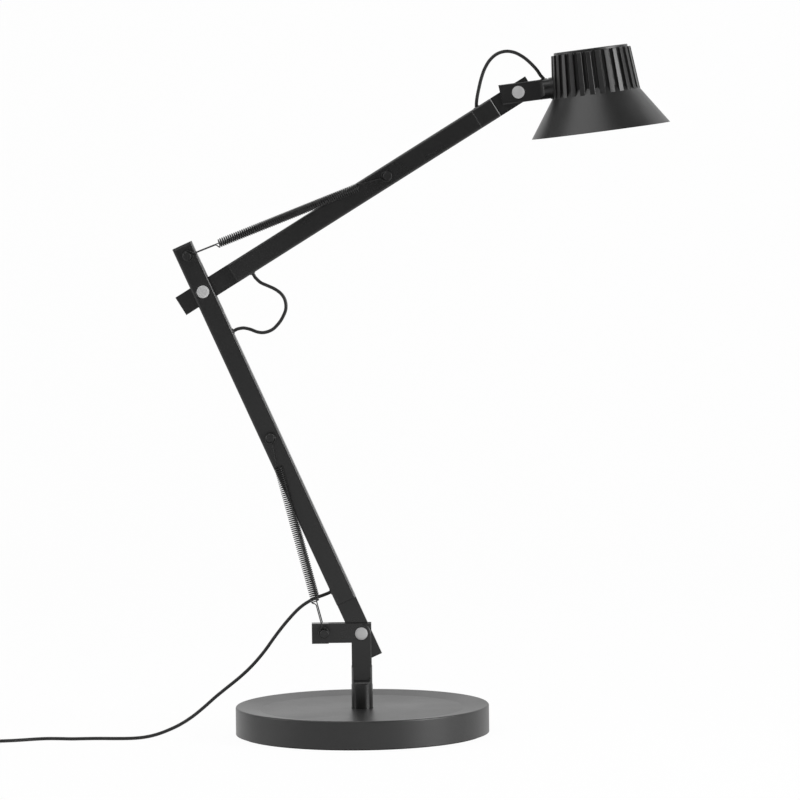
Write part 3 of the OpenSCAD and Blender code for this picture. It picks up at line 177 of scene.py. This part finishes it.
# Point of the stored coil after t turns; each layer runs in or out, then climbs to the next
def coilPoint(t, s):
    layer = s["coilTurns"] / s["coilLayers"]
    spread = s["coilStep"] * layer / 2
    outer = s["coilMidRadius"] + spread
    fold = t / layer - 2 * math.floor(t / layer / 2)
    r = outer - 2 * spread * (fold if fold < 1 else 2 - fold)
    climb = sum(min(max((t - k * layer) * 2 + 0.5, 0), 1) for k in range(1, s["coilLayers"]))
    a = 2 * math.pi * t
    return Vector((s["coilNorth"][0] - r * math.sin(a), s["coilNorth"][1] - outer + r * math.cos(a),
                   s["coilLift"] + s["coilStep"] * climb))


def makeLead(s):
    radius = s["diameter"] / 2
    side = lamp["tubeSide"] / 2
    out = placeOn(lamp["lowerPivot"], lamp["lowerAngle"], s["exit"], side)
    stub = placeOn(lamp["lowerPivot"], lamp["lowerAngle"], s["exit"], side + s["stub"])
    start = Vector((s["coilNorth"][0] + s["diameter"], s["coilNorth"][1], s["coilLift"]))
    loose = smoothPath(stretch(out, stub) + [Vector(p) / 1000 for p in s["route"]] + [start], s["steps"])
    rings = s["coilRings"]
    coil = [coilPoint(i / rings, s) for i in range(int(s["coilTurns"] * rings) + 1)]
    end = coil[-1] + Vector((0, -s["diameter"], 0))
    part = (s["tail"] - s["diameter"]) / s["tailParts"]
    tail = [end + Vector((0, -part * k, 0)) for k in range(1, s["tailParts"] + 1)]
    path = loose + coil + [end] + tail
    piece = newObject("lead", tubeMesh("lead", path, radius, lamp["cordSides"]))
    return piece, path, out


lead, leadPath, leadExit = makeLead(leadSettings)
print("lead length", round(pathLength(leadPath), 4))


# Cable loops at the elbow and at the head; each route is measured in mm from the elbow or the head pivot
loopSettings = {
    "diameter": 0.0032,
    "stub": 0.005,
    "steps": 5,
    "elbowHigh": 0.0484,
    "elbowLow": 0.0457,
    "headNear": 0.3097,
    "neckExit": 0.02555,
    "neckTop": 0.0091,
    "lean": 35,
    "elbowRoute": [
        (54.1, 7.7), (60.9, 4.5), (67.5, 1.3), (73.3, -3.2), (76.9, -9.4), (77.5, -17.3), (74.9, -24.3),
        (71, -30.5), (64.8, -36.6), (57.4, -39.4), (50.7, -39), (44, -36.4), (37.6, -35),
    ],
    "headRoute": [
        (-38.5, -3.6), (-37, 3.6), (-34.7, 12.8), (-31.4, 22), (-26.4, 30.2), (-19.6, 36), (-11.4, 38.4),
        (-3, 37.2), (5.2, 32.8), (12.2, 26.8), (17.8, 20.6),
    ],
}


def makeLoop(name, origin, ends, route, s):
    middle = [origin + Vector((x, 0, z)) / 1000 for x, z in route]
    path = smoothPath(stretch(ends[0], ends[1]) + middle + stretch(ends[2], ends[3]), s["steps"])
    piece = newObject(name, tubeMesh(name, path, s["diameter"] / 2, lamp["cordSides"]))
    return piece, path


def makeElbowLoop(s):
    side = lamp["tubeSide"] / 2
    high = -side - lamp["upperDrop"]
    low = lamp["lowerLength"] - s["elbowLow"]
    ends = [
        placeOn(elbow, lamp["upperAngle"], s["elbowHigh"], high),
        placeOn(elbow, lamp["upperAngle"], s["elbowHigh"], high - s["stub"]),
        placeOn(lamp["lowerPivot"], lamp["lowerAngle"], low, -side - s["stub"]),
        placeOn(lamp["lowerPivot"], lamp["lowerAngle"], low, -side),
    ]
    return makeLoop("elbowLoop", elbow, ends, s["elbowRoute"], s)


def makeHeadLoop(s):
    side = lamp["tubeSide"] / 2 - lamp["upperDrop"]
    across = s["stub"] * math.sin(math.radians(s["lean"]))
    up = s["stub"] * math.cos(math.radians(s["lean"]))
    ends = [
        placeOn(elbow, lamp["upperAngle"], s["headNear"], side),
        placeOn(elbow, lamp["upperAngle"], s["headNear"] + across, side + up),
        placeOn(headPivot, lamp["headAngle"], s["neckExit"] - across, s["neckTop"] + up),
        placeOn(headPivot, lamp["headAngle"], s["neckExit"], s["neckTop"]),
    ]
    return makeLoop("headLoop", headPivot, ends, s["headRoute"], s)


elbowLoop, elbowPath = makeElbowLoop(loopSettings)
headLoop, headPath = makeHeadLoop(loopSettings)
print("loops", round(pathLength(elbowPath), 4), round(pathLength(headPath), 4))

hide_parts("lead_cable", "lead_coil", "supply_tail")
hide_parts("elbow_cable_loop")
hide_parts("head_cable_loop")
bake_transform(lead)
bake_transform(elbowLoop)
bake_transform(headLoop)
print("cords done")


# Springs wound in full, each with a loop hung on its two studs
springSettings = {
    "wire": 0.0011,
    "outer": 0.0083,
    "hook": 0.0046,
    "hookStart": -15,
    "hookSweep": 315,
    "hookParts": 24,
    "hookNeck": [(0.0006, 0.0012), (0.0016, 0.0004), (0.003, 0)],
    "hookReach": 0.012,
    "joinIn": [(0.0034, 0), (0.0022, 0.2), (0.001, 0.75)],  # distance before the coil, share of its offset
    "joinOut": (0.0009, 0.0020),
    "joinDrop": 0.4,
    "shift": 0.0011,
    "bracketStud": (0.035, -0.0009),
    "armStud": 0.205,
    "overStud": (0.0366, -0.0006),
    "steps": 14,
    "lower": {"stemA": 0.032, "stemB": 0.029, "curls": 68, "starts": (0, 110), "lift": 0.0014},
    "upper": {"stemA": 0.032, "stemB": 0.0295, "curls": 70, "starts": (180, 90), "lift": 0.0026},
}


# Open loop round a stud, and the short neck that leads from it to the straight wire
def hookPoints(s):
    hook = []
    for i in range(s["hookParts"] + 1):
        t = math.radians(s["hookStart"] - s["hookSweep"] * i / s["hookParts"])
        hook.append((s["shift"] + s["hook"] * math.cos(t), 0, s["hook"] * math.sin(t)))
    edge = s["shift"] + s["hook"]
    return hook + [(edge + x, 0, z) for x, z in s["hookNeck"]]


# Wire of one spring from stud a to stud b; begin is the angle at which its coil starts
def springPath(a, b, y, begin, s, kind):
    span = (b - a).length
    angle = math.degrees(math.atan2(b.z - a.z, b.x - a.x))
    r = (s["outer"] - s["wire"]) / 2
    hook = hookPoints(s)
    first, last = kind["stemA"], span - kind["stemB"]
    side = -r * math.sin(math.radians(begin))
    join = r * math.cos(math.radians(begin))
    local = hook + [(first - before, side * share, join * share) for before, share in s["joinIn"]]
    turns = kind["curls"] - begin / 360
    segments = round(turns * s["steps"])
    for i in range(segments + 1):
        t = math.radians(begin) + 2 * math.pi * turns * i / segments
        local.append((first + (last - first) * i / segments, -r * math.sin(t), r * math.cos(t)))
    drop = (r - kind["lift"]) * s["joinDrop"]
    local += [(last + s["joinOut"][0], 0, r - drop), (last + s["joinOut"][1], 0, kind["lift"])]
    local += [(span - p[0], 0, -p[2]) for p in reversed(hook)]
    return [placeOn(a, angle, p[0], p[2], p[1] + y) for p in local]


def makeSprings(s):
    made = []
    over = lamp["lowerLength"] + s["overStud"][0]
    bracketStud = placeOn(lamp["lowerPivot"], 180, *s["bracketStud"])
    armStud = placeOn(lamp["lowerPivot"], lamp["lowerAngle"], s["armStud"])
    overStud = placeOn(lamp["lowerPivot"], lamp["lowerAngle"], over, s["overStud"][1])
    upperStud = placeOn(elbow, lamp["upperAngle"], s["armStud"], -lamp["upperDrop"])
    for name, kind, a, b, bodyA, bodyB in (
            ("lower", s["lower"], bracketStud, armStud, "stand", "lower_arm"),
            ("upper", s["upper"], overStud, upperStud, "lower_arm", "upper_arm")):
        for where, sign, begin in (("front", -1, kind["starts"][0]), ("rear", 1, kind["starts"][1])):
            path = springPath(a, b, sign * lamp["springY"], begin, s, kind)
            title = f"{name}Spring_{where}"
            piece = newObject(title, tubeMesh(title, path, s["wire"] / 2, lamp["springSides"]))
            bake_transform(piece)
            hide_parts(f"{name}_spring_{where}")
            made.append(piece)
    return made


springs = makeSprings(springSettings)
print("springs done")


# Shared effects as node groups
def newGroup(name, inputs, outputs):
    group = bpy.data.node_groups.new(name, "ShaderNodeTree")
    for label, kind, value in inputs:
        socket = group.interface.new_socket(label, in_out="INPUT", socket_type=kind)
        socket.default_value = value
    for label, kind in outputs:
        group.interface.new_socket(label, in_out="OUTPUT", socket_type=kind)
    return group, group.nodes.new("NodeGroupInput"), group.nodes.new("NodeGroupOutput")


def noiseNode(tree, coordinates, scale, detail, roughness=0.5):
    node = tree.nodes.new("ShaderNodeTexNoise")
    node.inputs["Detail"].default_value = detail
    node.inputs["Roughness"].default_value = roughness
    if isinstance(scale, (int, float)):
        node.inputs["Scale"].default_value = scale
    else:
        tree.links.new(scale, node.inputs["Scale"])
    tree.links.new(coordinates, node.inputs["Vector"])
    return node.outputs["Fac"]


def mathNode(tree, operation, a, b=None, c=None, clamp=False):
    node = tree.nodes.new("ShaderNodeMath")
    node.operation = operation
    node.use_clamp = clamp
    for i, value in enumerate((a, b, c)):
        if value is None:
            continue
        if isinstance(value, (int, float)):
            node.inputs[i].default_value = value
        else:
            tree.links.new(value, node.inputs[i])
    return node.outputs[0]


def spreadNode(tree, value, low, high, outLow, outHigh):
    node = tree.nodes.new("ShaderNodeMapRange")
    for label, number in (("From Min", low), ("From Max", high), ("To Min", outLow), ("To Max", outHigh)):
        if isinstance(number, (int, float)):
            node.inputs[label].default_value = number
        else:
            tree.links.new(number, node.inputs[label])
    tree.links.new(value, node.inputs["Value"])
    return node.outputs["Result"]


def mixColours(tree, factor, a, b):
    node = tree.nodes.new("ShaderNodeMix")
    node.data_type = "RGBA"
    for socket, value in ((node.inputs[0], factor), (node.inputs[6], a), (node.inputs[7], b)):
        if isinstance(value, (int, float, tuple)):
            socket.default_value = value
        else:
            tree.links.new(value, socket)
    return node.outputs[2]


# Fine orange peel of a powder coat, with slow cloudy tone and small dull flecks
grainShape = {
    "fine": 4.1,  # times the peel's own scale
    "cloud": 14.0,
    "fleck": 620.0,
    "fleckFrom": 0.62,
    "fleckTo": 0.78,
    "fleckDull": 0.06,
    "cloudShare": 0.45,
    "fineHeight": 0.35,
    "low": 0.3,
    "high": 0.7,
}


def makeGrainGroup():
    group, given, result = newGroup("powderGrain", [
        ("Dark", "NodeSocketColor", (0.02, 0.02, 0.02, 1)),
        ("Light", "NodeSocketColor", (0.03, 0.03, 0.03, 1)),
        ("Peel", "NodeSocketFloat", 900.0),
        ("RoughLow", "NodeSocketFloat", 0.4),
        ("RoughHigh", "NodeSocketFloat", 0.5),
    ], [("Color", "NodeSocketColor"), ("Roughness", "NodeSocketFloat"), ("Height", "NodeSocketFloat")])
    coordinates = group.nodes.new("ShaderNodeTexCoord").outputs["Object"]
    shape = grainShape
    peel = noiseNode(group, coordinates, given.outputs["Peel"], 2.0)
    fine = noiseNode(group, coordinates, mathNode(group, "MULTIPLY", given.outputs["Peel"], shape["fine"]), 1.0)
    cloud = noiseNode(group, coordinates, shape["cloud"], 3.0, 0.55)
    fleck = noiseNode(group, coordinates, shape["fleck"], 1.0)
    fleck = spreadNode(group, fleck, shape["fleckFrom"], shape["fleckTo"], 0.0, 1.0)
    cloudPart = mathNode(group, "MULTIPLY", cloud, shape["cloudShare"])
    finePart = mathNode(group, "MULTIPLY", fine, 1 - shape["cloudShare"])
    tone = spreadNode(group, mathNode(group, "ADD", cloudPart, finePart), shape["low"], shape["high"], 0.0, 1.0)
    color = mixColours(group, tone, given.outputs["Dark"], given.outputs["Light"])
    rough = spreadNode(group, cloud, shape["low"], shape["high"],
                       given.outputs["RoughLow"], given.outputs["RoughHigh"])
    rough = mathNode(group, "ADD", rough, mathNode(group, "MULTIPLY", fleck, shape["fleckDull"]))
    height = mathNode(group, "ADD", peel, mathNode(group, "MULTIPLY", fine, shape["fineHeight"]))
    group.links.new(color, result.inputs["Color"])
    group.links.new(rough, result.inputs["Roughness"])
    group.links.new(height, result.inputs["Height"])
    return group


# Fine rings of a faced metal disc about an axis along y through Centre
ringShape = {
    "wobble": 1600.0,
    "wobbleShare": 5.0,
    "soft": 260.0,
    "ringShare": 0.4,
    "rough": (0.36, 0.5),
}


def makeTurnedGroup():
    group, given, result = newGroup("turnedRings", [
        ("Centre", "NodeSocketVector", (0, 0, 0)),
        ("Dark", "NodeSocketColor", (0.5, 0.5, 0.5, 1)),
        ("Light", "NodeSocketColor", (0.6, 0.6, 0.6, 1)),
        ("Rings", "NodeSocketFloat", 9000.0),
    ], [("Color", "NodeSocketColor"), ("Roughness", "NodeSocketFloat"), ("Height", "NodeSocketFloat")])
    coordinates = group.nodes.new("ShaderNodeTexCoord").outputs["Object"]
    away = group.nodes.new("ShaderNodeVectorMath")
    away.operation = "SUBTRACT"
    group.links.new(coordinates, away.inputs[0])
    group.links.new(given.outputs["Centre"], away.inputs[1])
    flat = group.nodes.new("ShaderNodeVectorMath")
    flat.operation = "MULTIPLY"
    flat.inputs[1].default_value = (1, 0, 1)
    group.links.new(away.outputs[0], flat.inputs[0])
    radius = group.nodes.new("ShaderNodeVectorMath")
    radius.operation = "LENGTH"
    group.links.new(flat.outputs[0], radius.inputs[0])
    shape = ringShape
    wobble = mathNode(group, "MULTIPLY", noiseNode(group, coordinates, shape["wobble"], 2.0), shape["wobbleShare"])
    turns = mathNode(group, "MULTIPLY", radius.outputs["Value"], given.outputs["Rings"])
    ring = mathNode(group, "SINE", mathNode(group, "ADD", turns, wobble))
    ring = mathNode(group, "MULTIPLY_ADD", ring, 0.5, 0.5)
    soft = noiseNode(group, coordinates, shape["soft"], 3.0)
    ringPart = mathNode(group, "MULTIPLY", ring, shape["ringShare"])
    tone = mathNode(group, "ADD", ringPart, mathNode(group, "MULTIPLY", soft, 1 - shape["ringShare"]))
    group.links.new(mixColours(group, tone, given.outputs["Dark"], given.outputs["Light"]), result.inputs["Color"])
    group.links.new(spreadNode(group, tone, 0.2, 0.8, *shape["rough"]), result.inputs["Roughness"])
    group.links.new(ring, result.inputs["Height"])
    return group


grainGroup = makeGrainGroup()
turnedGroup = makeTurnedGroup()


def newMaterial(name):
    material = bpy.data.materials.new(name)
    material.use_nodes = True
    tree = material.node_tree
    shader = tree.nodes["Principled BSDF"]
    return material, tree, shader


# Plain grey of value v, a little towards red and away from blue where warm is above 0
def grey(v, warm=0.0):
    return (v * (1 + warm), v, v * (1 - warm), 1)


def grainMaterial(name, s):
    material, tree, shader = newMaterial(name)
    effect = tree.nodes.new("ShaderNodeGroup")
    effect.node_tree = grainGroup
    effect.inputs["Dark"].default_value = s["dark"]
    effect.inputs["Light"].default_value = s["light"]
    effect.inputs["Peel"].default_value = s["peel"]
    effect.inputs["RoughLow"].default_value = s["rough"][0]
    effect.inputs["RoughHigh"].default_value = s["rough"][1]
    bump = tree.nodes.new("ShaderNodeBump")
    bump.inputs["Strength"].default_value = s["bump"]
    bump.inputs["Distance"].default_value = s["depth"]
    if s.get("edge"):  # softened edges, in the width of "edge"
        edge = tree.nodes.new("ShaderNodeBevel")
        edge.samples = 4
        edge.inputs["Radius"].default_value = s["edge"]
        tree.links.new(edge.outputs["Normal"], bump.inputs["Normal"])
    tree.links.new(effect.outputs["Color"], shader.inputs["Base Color"])
    tree.links.new(effect.outputs["Roughness"], shader.inputs["Roughness"])
    tree.links.new(effect.outputs["Height"], bump.inputs["Height"])
    tree.links.new(bump.outputs["Normal"], shader.inputs["Normal"])
    shader.inputs["Metallic"].default_value = s.get("metallic", 0.0)
    shader.inputs["Specular IOR Level"].default_value = s.get("specular", 0.5)
    return material


def turnedMaterial(name, s):
    material, tree, shader = newMaterial(name)
    effect = tree.nodes.new("ShaderNodeGroup")
    effect.node_tree = turnedGroup
    effect.inputs["Centre"].default_value = s["centre"]
    effect.inputs["Dark"].default_value = s["dark"]
    effect.inputs["Light"].default_value = s["light"]
    bump = tree.nodes.new("ShaderNodeBump")
    bump.inputs["Strength"].default_value = s["bump"]
    bump.inputs["Distance"].default_value = s["depth"]
    tree.links.new(effect.outputs["Color"], shader.inputs["Base Color"])
    tree.links.new(effect.outputs["Roughness"], shader.inputs["Roughness"])
    tree.links.new(effect.outputs["Height"], bump.inputs["Height"])
    tree.links.new(bump.outputs["Normal"], shader.inputs["Normal"])
    shader.inputs["Metallic"].default_value = s["metallic"]
    return material


# What a powder coat, a jacket or a metal finish is made of; more may hold edge, specular and metallic
def finish(dark, light, peel, rough, bump, depth, **more):
    return {"dark": dark, "light": light, "peel": peel, "rough": rough, "bump": bump, "depth": depth, **more}


finishes = {
    "coat": finish(grey(0.006), grey(0.01), 900, (0.26, 0.33), 0.25, 0.00008, edge=0.0003),
    "coatArm": finish(grey(0.006), grey(0.01), 900, (0.26, 0.33), 0.25, 0.00008, edge=0.0014),
    "coatBase": finish(grey(0.013), grey(0.019), 760, (0.35, 0.41), 0.3, 0.00008),
    "coatHead": finish(grey(0.008), grey(0.013), 900, (0.34, 0.42), 0.22, 0.00007, edge=0.0002),
    "jacket": finish(grey(0.009), grey(0.014), 420, (0.38, 0.46), 0.08, 0.00006, specular=0.35),
    "wire": finish(grey(0.008), grey(0.014), 1400, (0.3, 0.38), 0.1, 0.00004, specular=0.32),
    "stud": finish(grey(0.006), grey(0.01), 1200, (0.3, 0.38), 0.15, 0.00005, edge=0.0002),
    "rubber": finish(grey(0.012), grey(0.022), 1500, (0.62, 0.74), 0.3, 0.00008),
    "plastic": finish(grey(0.014), grey(0.022), 1700, (0.46, 0.58), 0.4, 0.00009),
    "zinc": finish(grey(0.42), grey(0.56), 500, (0.3, 0.42), 0.1, 0.00005, metallic=1.0),
    "ballast": finish(grey(0.12), grey(0.2), 300, (0.5, 0.7), 0.5, 0.0002, metallic=0.9),
    "nylon": finish(grey(0.6, 0.02), grey(0.72, 0.02), 700, (0.4, 0.5), 0.1, 0.00005),
    "lens": finish(grey(0.72), grey(0.8), 2400, (0.4, 0.5), 0.3, 0.00005),
    "white": finish(grey(0.74), grey(0.82), 500, (0.2, 0.3), 0.05, 0.00005),
    "board": finish((0.012, 0.09, 0.035, 1), (0.02, 0.14, 0.05, 1), 900, (0.3, 0.4), 0.1, 0.00005),
    "phosphor": finish((0.6, 0.42, 0.06, 1), (0.75, 0.55, 0.1, 1), 1500, (0.3, 0.4), 0.2, 0.00005),
    "nickel": finish(grey(0.6), grey(0.7), 500, (0.14, 0.22), 0.03, 0.00003, metallic=1.0),
}
materials = {name: grainMaterial(name, s) for name, s in finishes.items()}
capLook = {"dark": grey(0.42), "light": grey(0.51), "metallic": 0.25, "bump": 0.12, "depth": 0.00004}
for capName, centre in (("capLower", lamp["lowerPivot"]), ("capElbow", elbow), ("capHead", headPivot)):
    materials[capName] = turnedMaterial(capName, {**capLook, "centre": tuple(centre)})
print("materials done")


# Finish of every node that keeps its own shape
nodeLooks = {
    "coatBase": ["base_cover"],
    "coat": ["post_bracket", "lower_tongue", "elbow_tongue", "head_tongue", "head_fork"],
    "coatArm": ["lower_arm_tube", "upper_arm_tube"],
    "coatHead": ["head_housing", "head_cap", "lens_ring"],
    "stud": ["bracket_spring_stud", "lower_spring_stud", "elbow_spring_stud", "upper_spring_stud"],
    "rubber": ["foot_pad", "lower_grommets", "upper_grommets", "neck_grommet", "supply_relief", "coil_tie"],
    "plastic": ["lower_end_cap", "supply_case", "supply_cover", "swivel_bush", "board_link"],
    "jacket": ["lower_arm_cable", "upper_arm_cable", "head_cable"],
    "zinc": ["bottom_plate", "ballast_screws", "post_washer", "post_nut", "led_screws", "neck_set_screw"],
    "ballast": ["ballast_ring"],
    "nylon": ["lower_pivot_washers", "head_pivot_washers", "elbow_spacers"],
    "lens": ["lens"],
    "white": ["reflector", "led_board"],
    "board": ["dimmer_board"],
    "phosphor": ["led_emitter"],
    "nickel": ["plug_pins"],
    "capLower": ["lower_pivot_pin", "lower_pivot_screw"],
    "capElbow": ["elbow_pivot_pin", "elbow_pivot_screw"],
    "capHead": ["head_pivot_pin", "head_pivot_screw"],
}


def setMaterial(piece, material):
    if piece.data.materials:
        for i in range(len(piece.data.materials)):
            piece.data.materials[i] = material
    else:
        piece.data.materials.append(material)
    for slot in piece.material_slots:
        slot.link = "OBJECT"
        slot.material = material


for look, names in nodeLooks.items():
    for nodeName in names:
        setMaterial(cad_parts[nodeName], materials[look])
for cordPiece in (lead, elbowLoop, headLoop):
    cordPiece.data.materials.append(materials["jacket"])
for spring in springs:
    spring.data.materials.append(materials["wire"])


# Floor, backdrop and soft light; tone is their colour in the light, and glow with share is what the
# camera and reflections see
stageSettings = {
    "tone": 0.8,
    "glow": 1.0,
    "share": 0.96,
    "rough": 0.9,
    "specular": 0.1,
    "half": 5.0,
    "front": -5.5,
    "back": 2.4,
    "bend": 1.0,
    "bendParts": 16,
    "height": 5.0,
    "ambient": 0.1,
}


def makeStage(s):
    mesh = bpy.data.meshes.new("floor")
    profile = [(s["front"], 0.0)]
    for i in range(s["bendParts"] + 1):
        a = math.pi / 2 * i / s["bendParts"]
        profile.append((s["back"] - s["bend"] + s["bend"] * math.sin(a), s["bend"] * (1 - math.cos(a))))
    profile.append((s["back"], s["height"]))
    points = [(x, y, z) for y, z in profile for x in (-s["half"], s["half"])]
    faces = [(2 * i, 2 * i + 1, 2 * i + 3, 2 * i + 2) for i in range(len(profile) - 1)]
    mesh.from_pydata(points, [], faces)
    mesh.polygons.foreach_set("use_smooth", [True] * len(faces))
    floor = newObject("floor", mesh)
    material, tree, shader = newMaterial("floor")
    shader.inputs["Base Color"].default_value = grey(s["tone"])
    shader.inputs["Roughness"].default_value = s["rough"]
    shader.inputs["Specular IOR Level"].default_value = s["specular"]
    glow = tree.nodes.new("ShaderNodeEmission")
    glow.inputs["Color"].default_value = grey(s["glow"])
    ray = tree.nodes.new("ShaderNodeLightPath").outputs
    seen = mathNode(tree, "MAXIMUM", ray["Is Camera Ray"], ray["Is Glossy Ray"])
    seen = mathNode(tree, "MAXIMUM", seen, ray["Is Transmission Ray"])
    mix = tree.nodes.new("ShaderNodeMixShader")
    tree.links.new(mathNode(tree, "MULTIPLY", seen, s["share"]), mix.inputs[0])
    tree.links.new(shader.outputs[0], mix.inputs[1])
    tree.links.new(glow.outputs[0], mix.inputs[2])
    clear = tree.nodes.new("ShaderNodeBsdfTransparent")  # seen through from behind, so that a rear view is open
    sides = tree.nodes.new("ShaderNodeMixShader")
    tree.links.new(tree.nodes.new("ShaderNodeNewGeometry").outputs["Backfacing"], sides.inputs[0])
    tree.links.new(mix.outputs[0], sides.inputs[1])
    tree.links.new(clear.outputs[0], sides.inputs[2])
    tree.links.new(sides.outputs[0], tree.nodes["Material Output"].inputs["Surface"])
    mesh.materials.append(material)


def makeLight(name, place, aim, size, power):
    data = bpy.data.lights.new(name, "AREA")
    data.shape = "RECTANGLE"
    data.size, data.size_y = size
    data.energy = power
    lampObject = bpy.data.objects.new(name, data)
    bpy.context.scene.collection.objects.link(lampObject)
    lampObject.location = place
    lampObject.rotation_euler = (Vector(aim) - Vector(place)).to_track_quat("-Z", "Y").to_euler()


# Name, place, point aimed at, size and power of each lamp
lightSettings = [
    ("softTop", (-1.0, -0.9, 2.4), (0, 0, 0.35), (2.3, 2.3), 38),
    ("softRight", (2.3, -1.1, 1.0), (0, 0, 0.4), (1.4, 1.9), 76),
    ("softLeft", (-2.4, -0.2, 0.9), (0, 0, 0.4), (1.0, 1.6), 16),
    ("softBack", (0.9, 1.5, 2.6), (0.1, 0, 0.2), (1.8, 1.4), 14),
]


def makeWorld(strength):
    world = bpy.data.worlds.new("world")
    bpy.context.scene.world = world
    world.use_nodes = True
    tree = world.node_tree
    sky = tree.nodes["Background"]
    sky.inputs["Color"].default_value = (1, 1, 1, 1)
    seen = tree.nodes.new("ShaderNodeLightPath").outputs["Is Camera Ray"]
    tree.links.new(mathNode(tree, "MULTIPLY_ADD", seen, 1 - strength, strength), sky.inputs["Strength"])


makeStage(stageSettings)
for lightItem in lightSettings:
    makeLight(*lightItem)
makeWorld(stageSettings["ambient"])
bpy.context.scene.view_settings.view_transform = "Standard"
print("stage done")
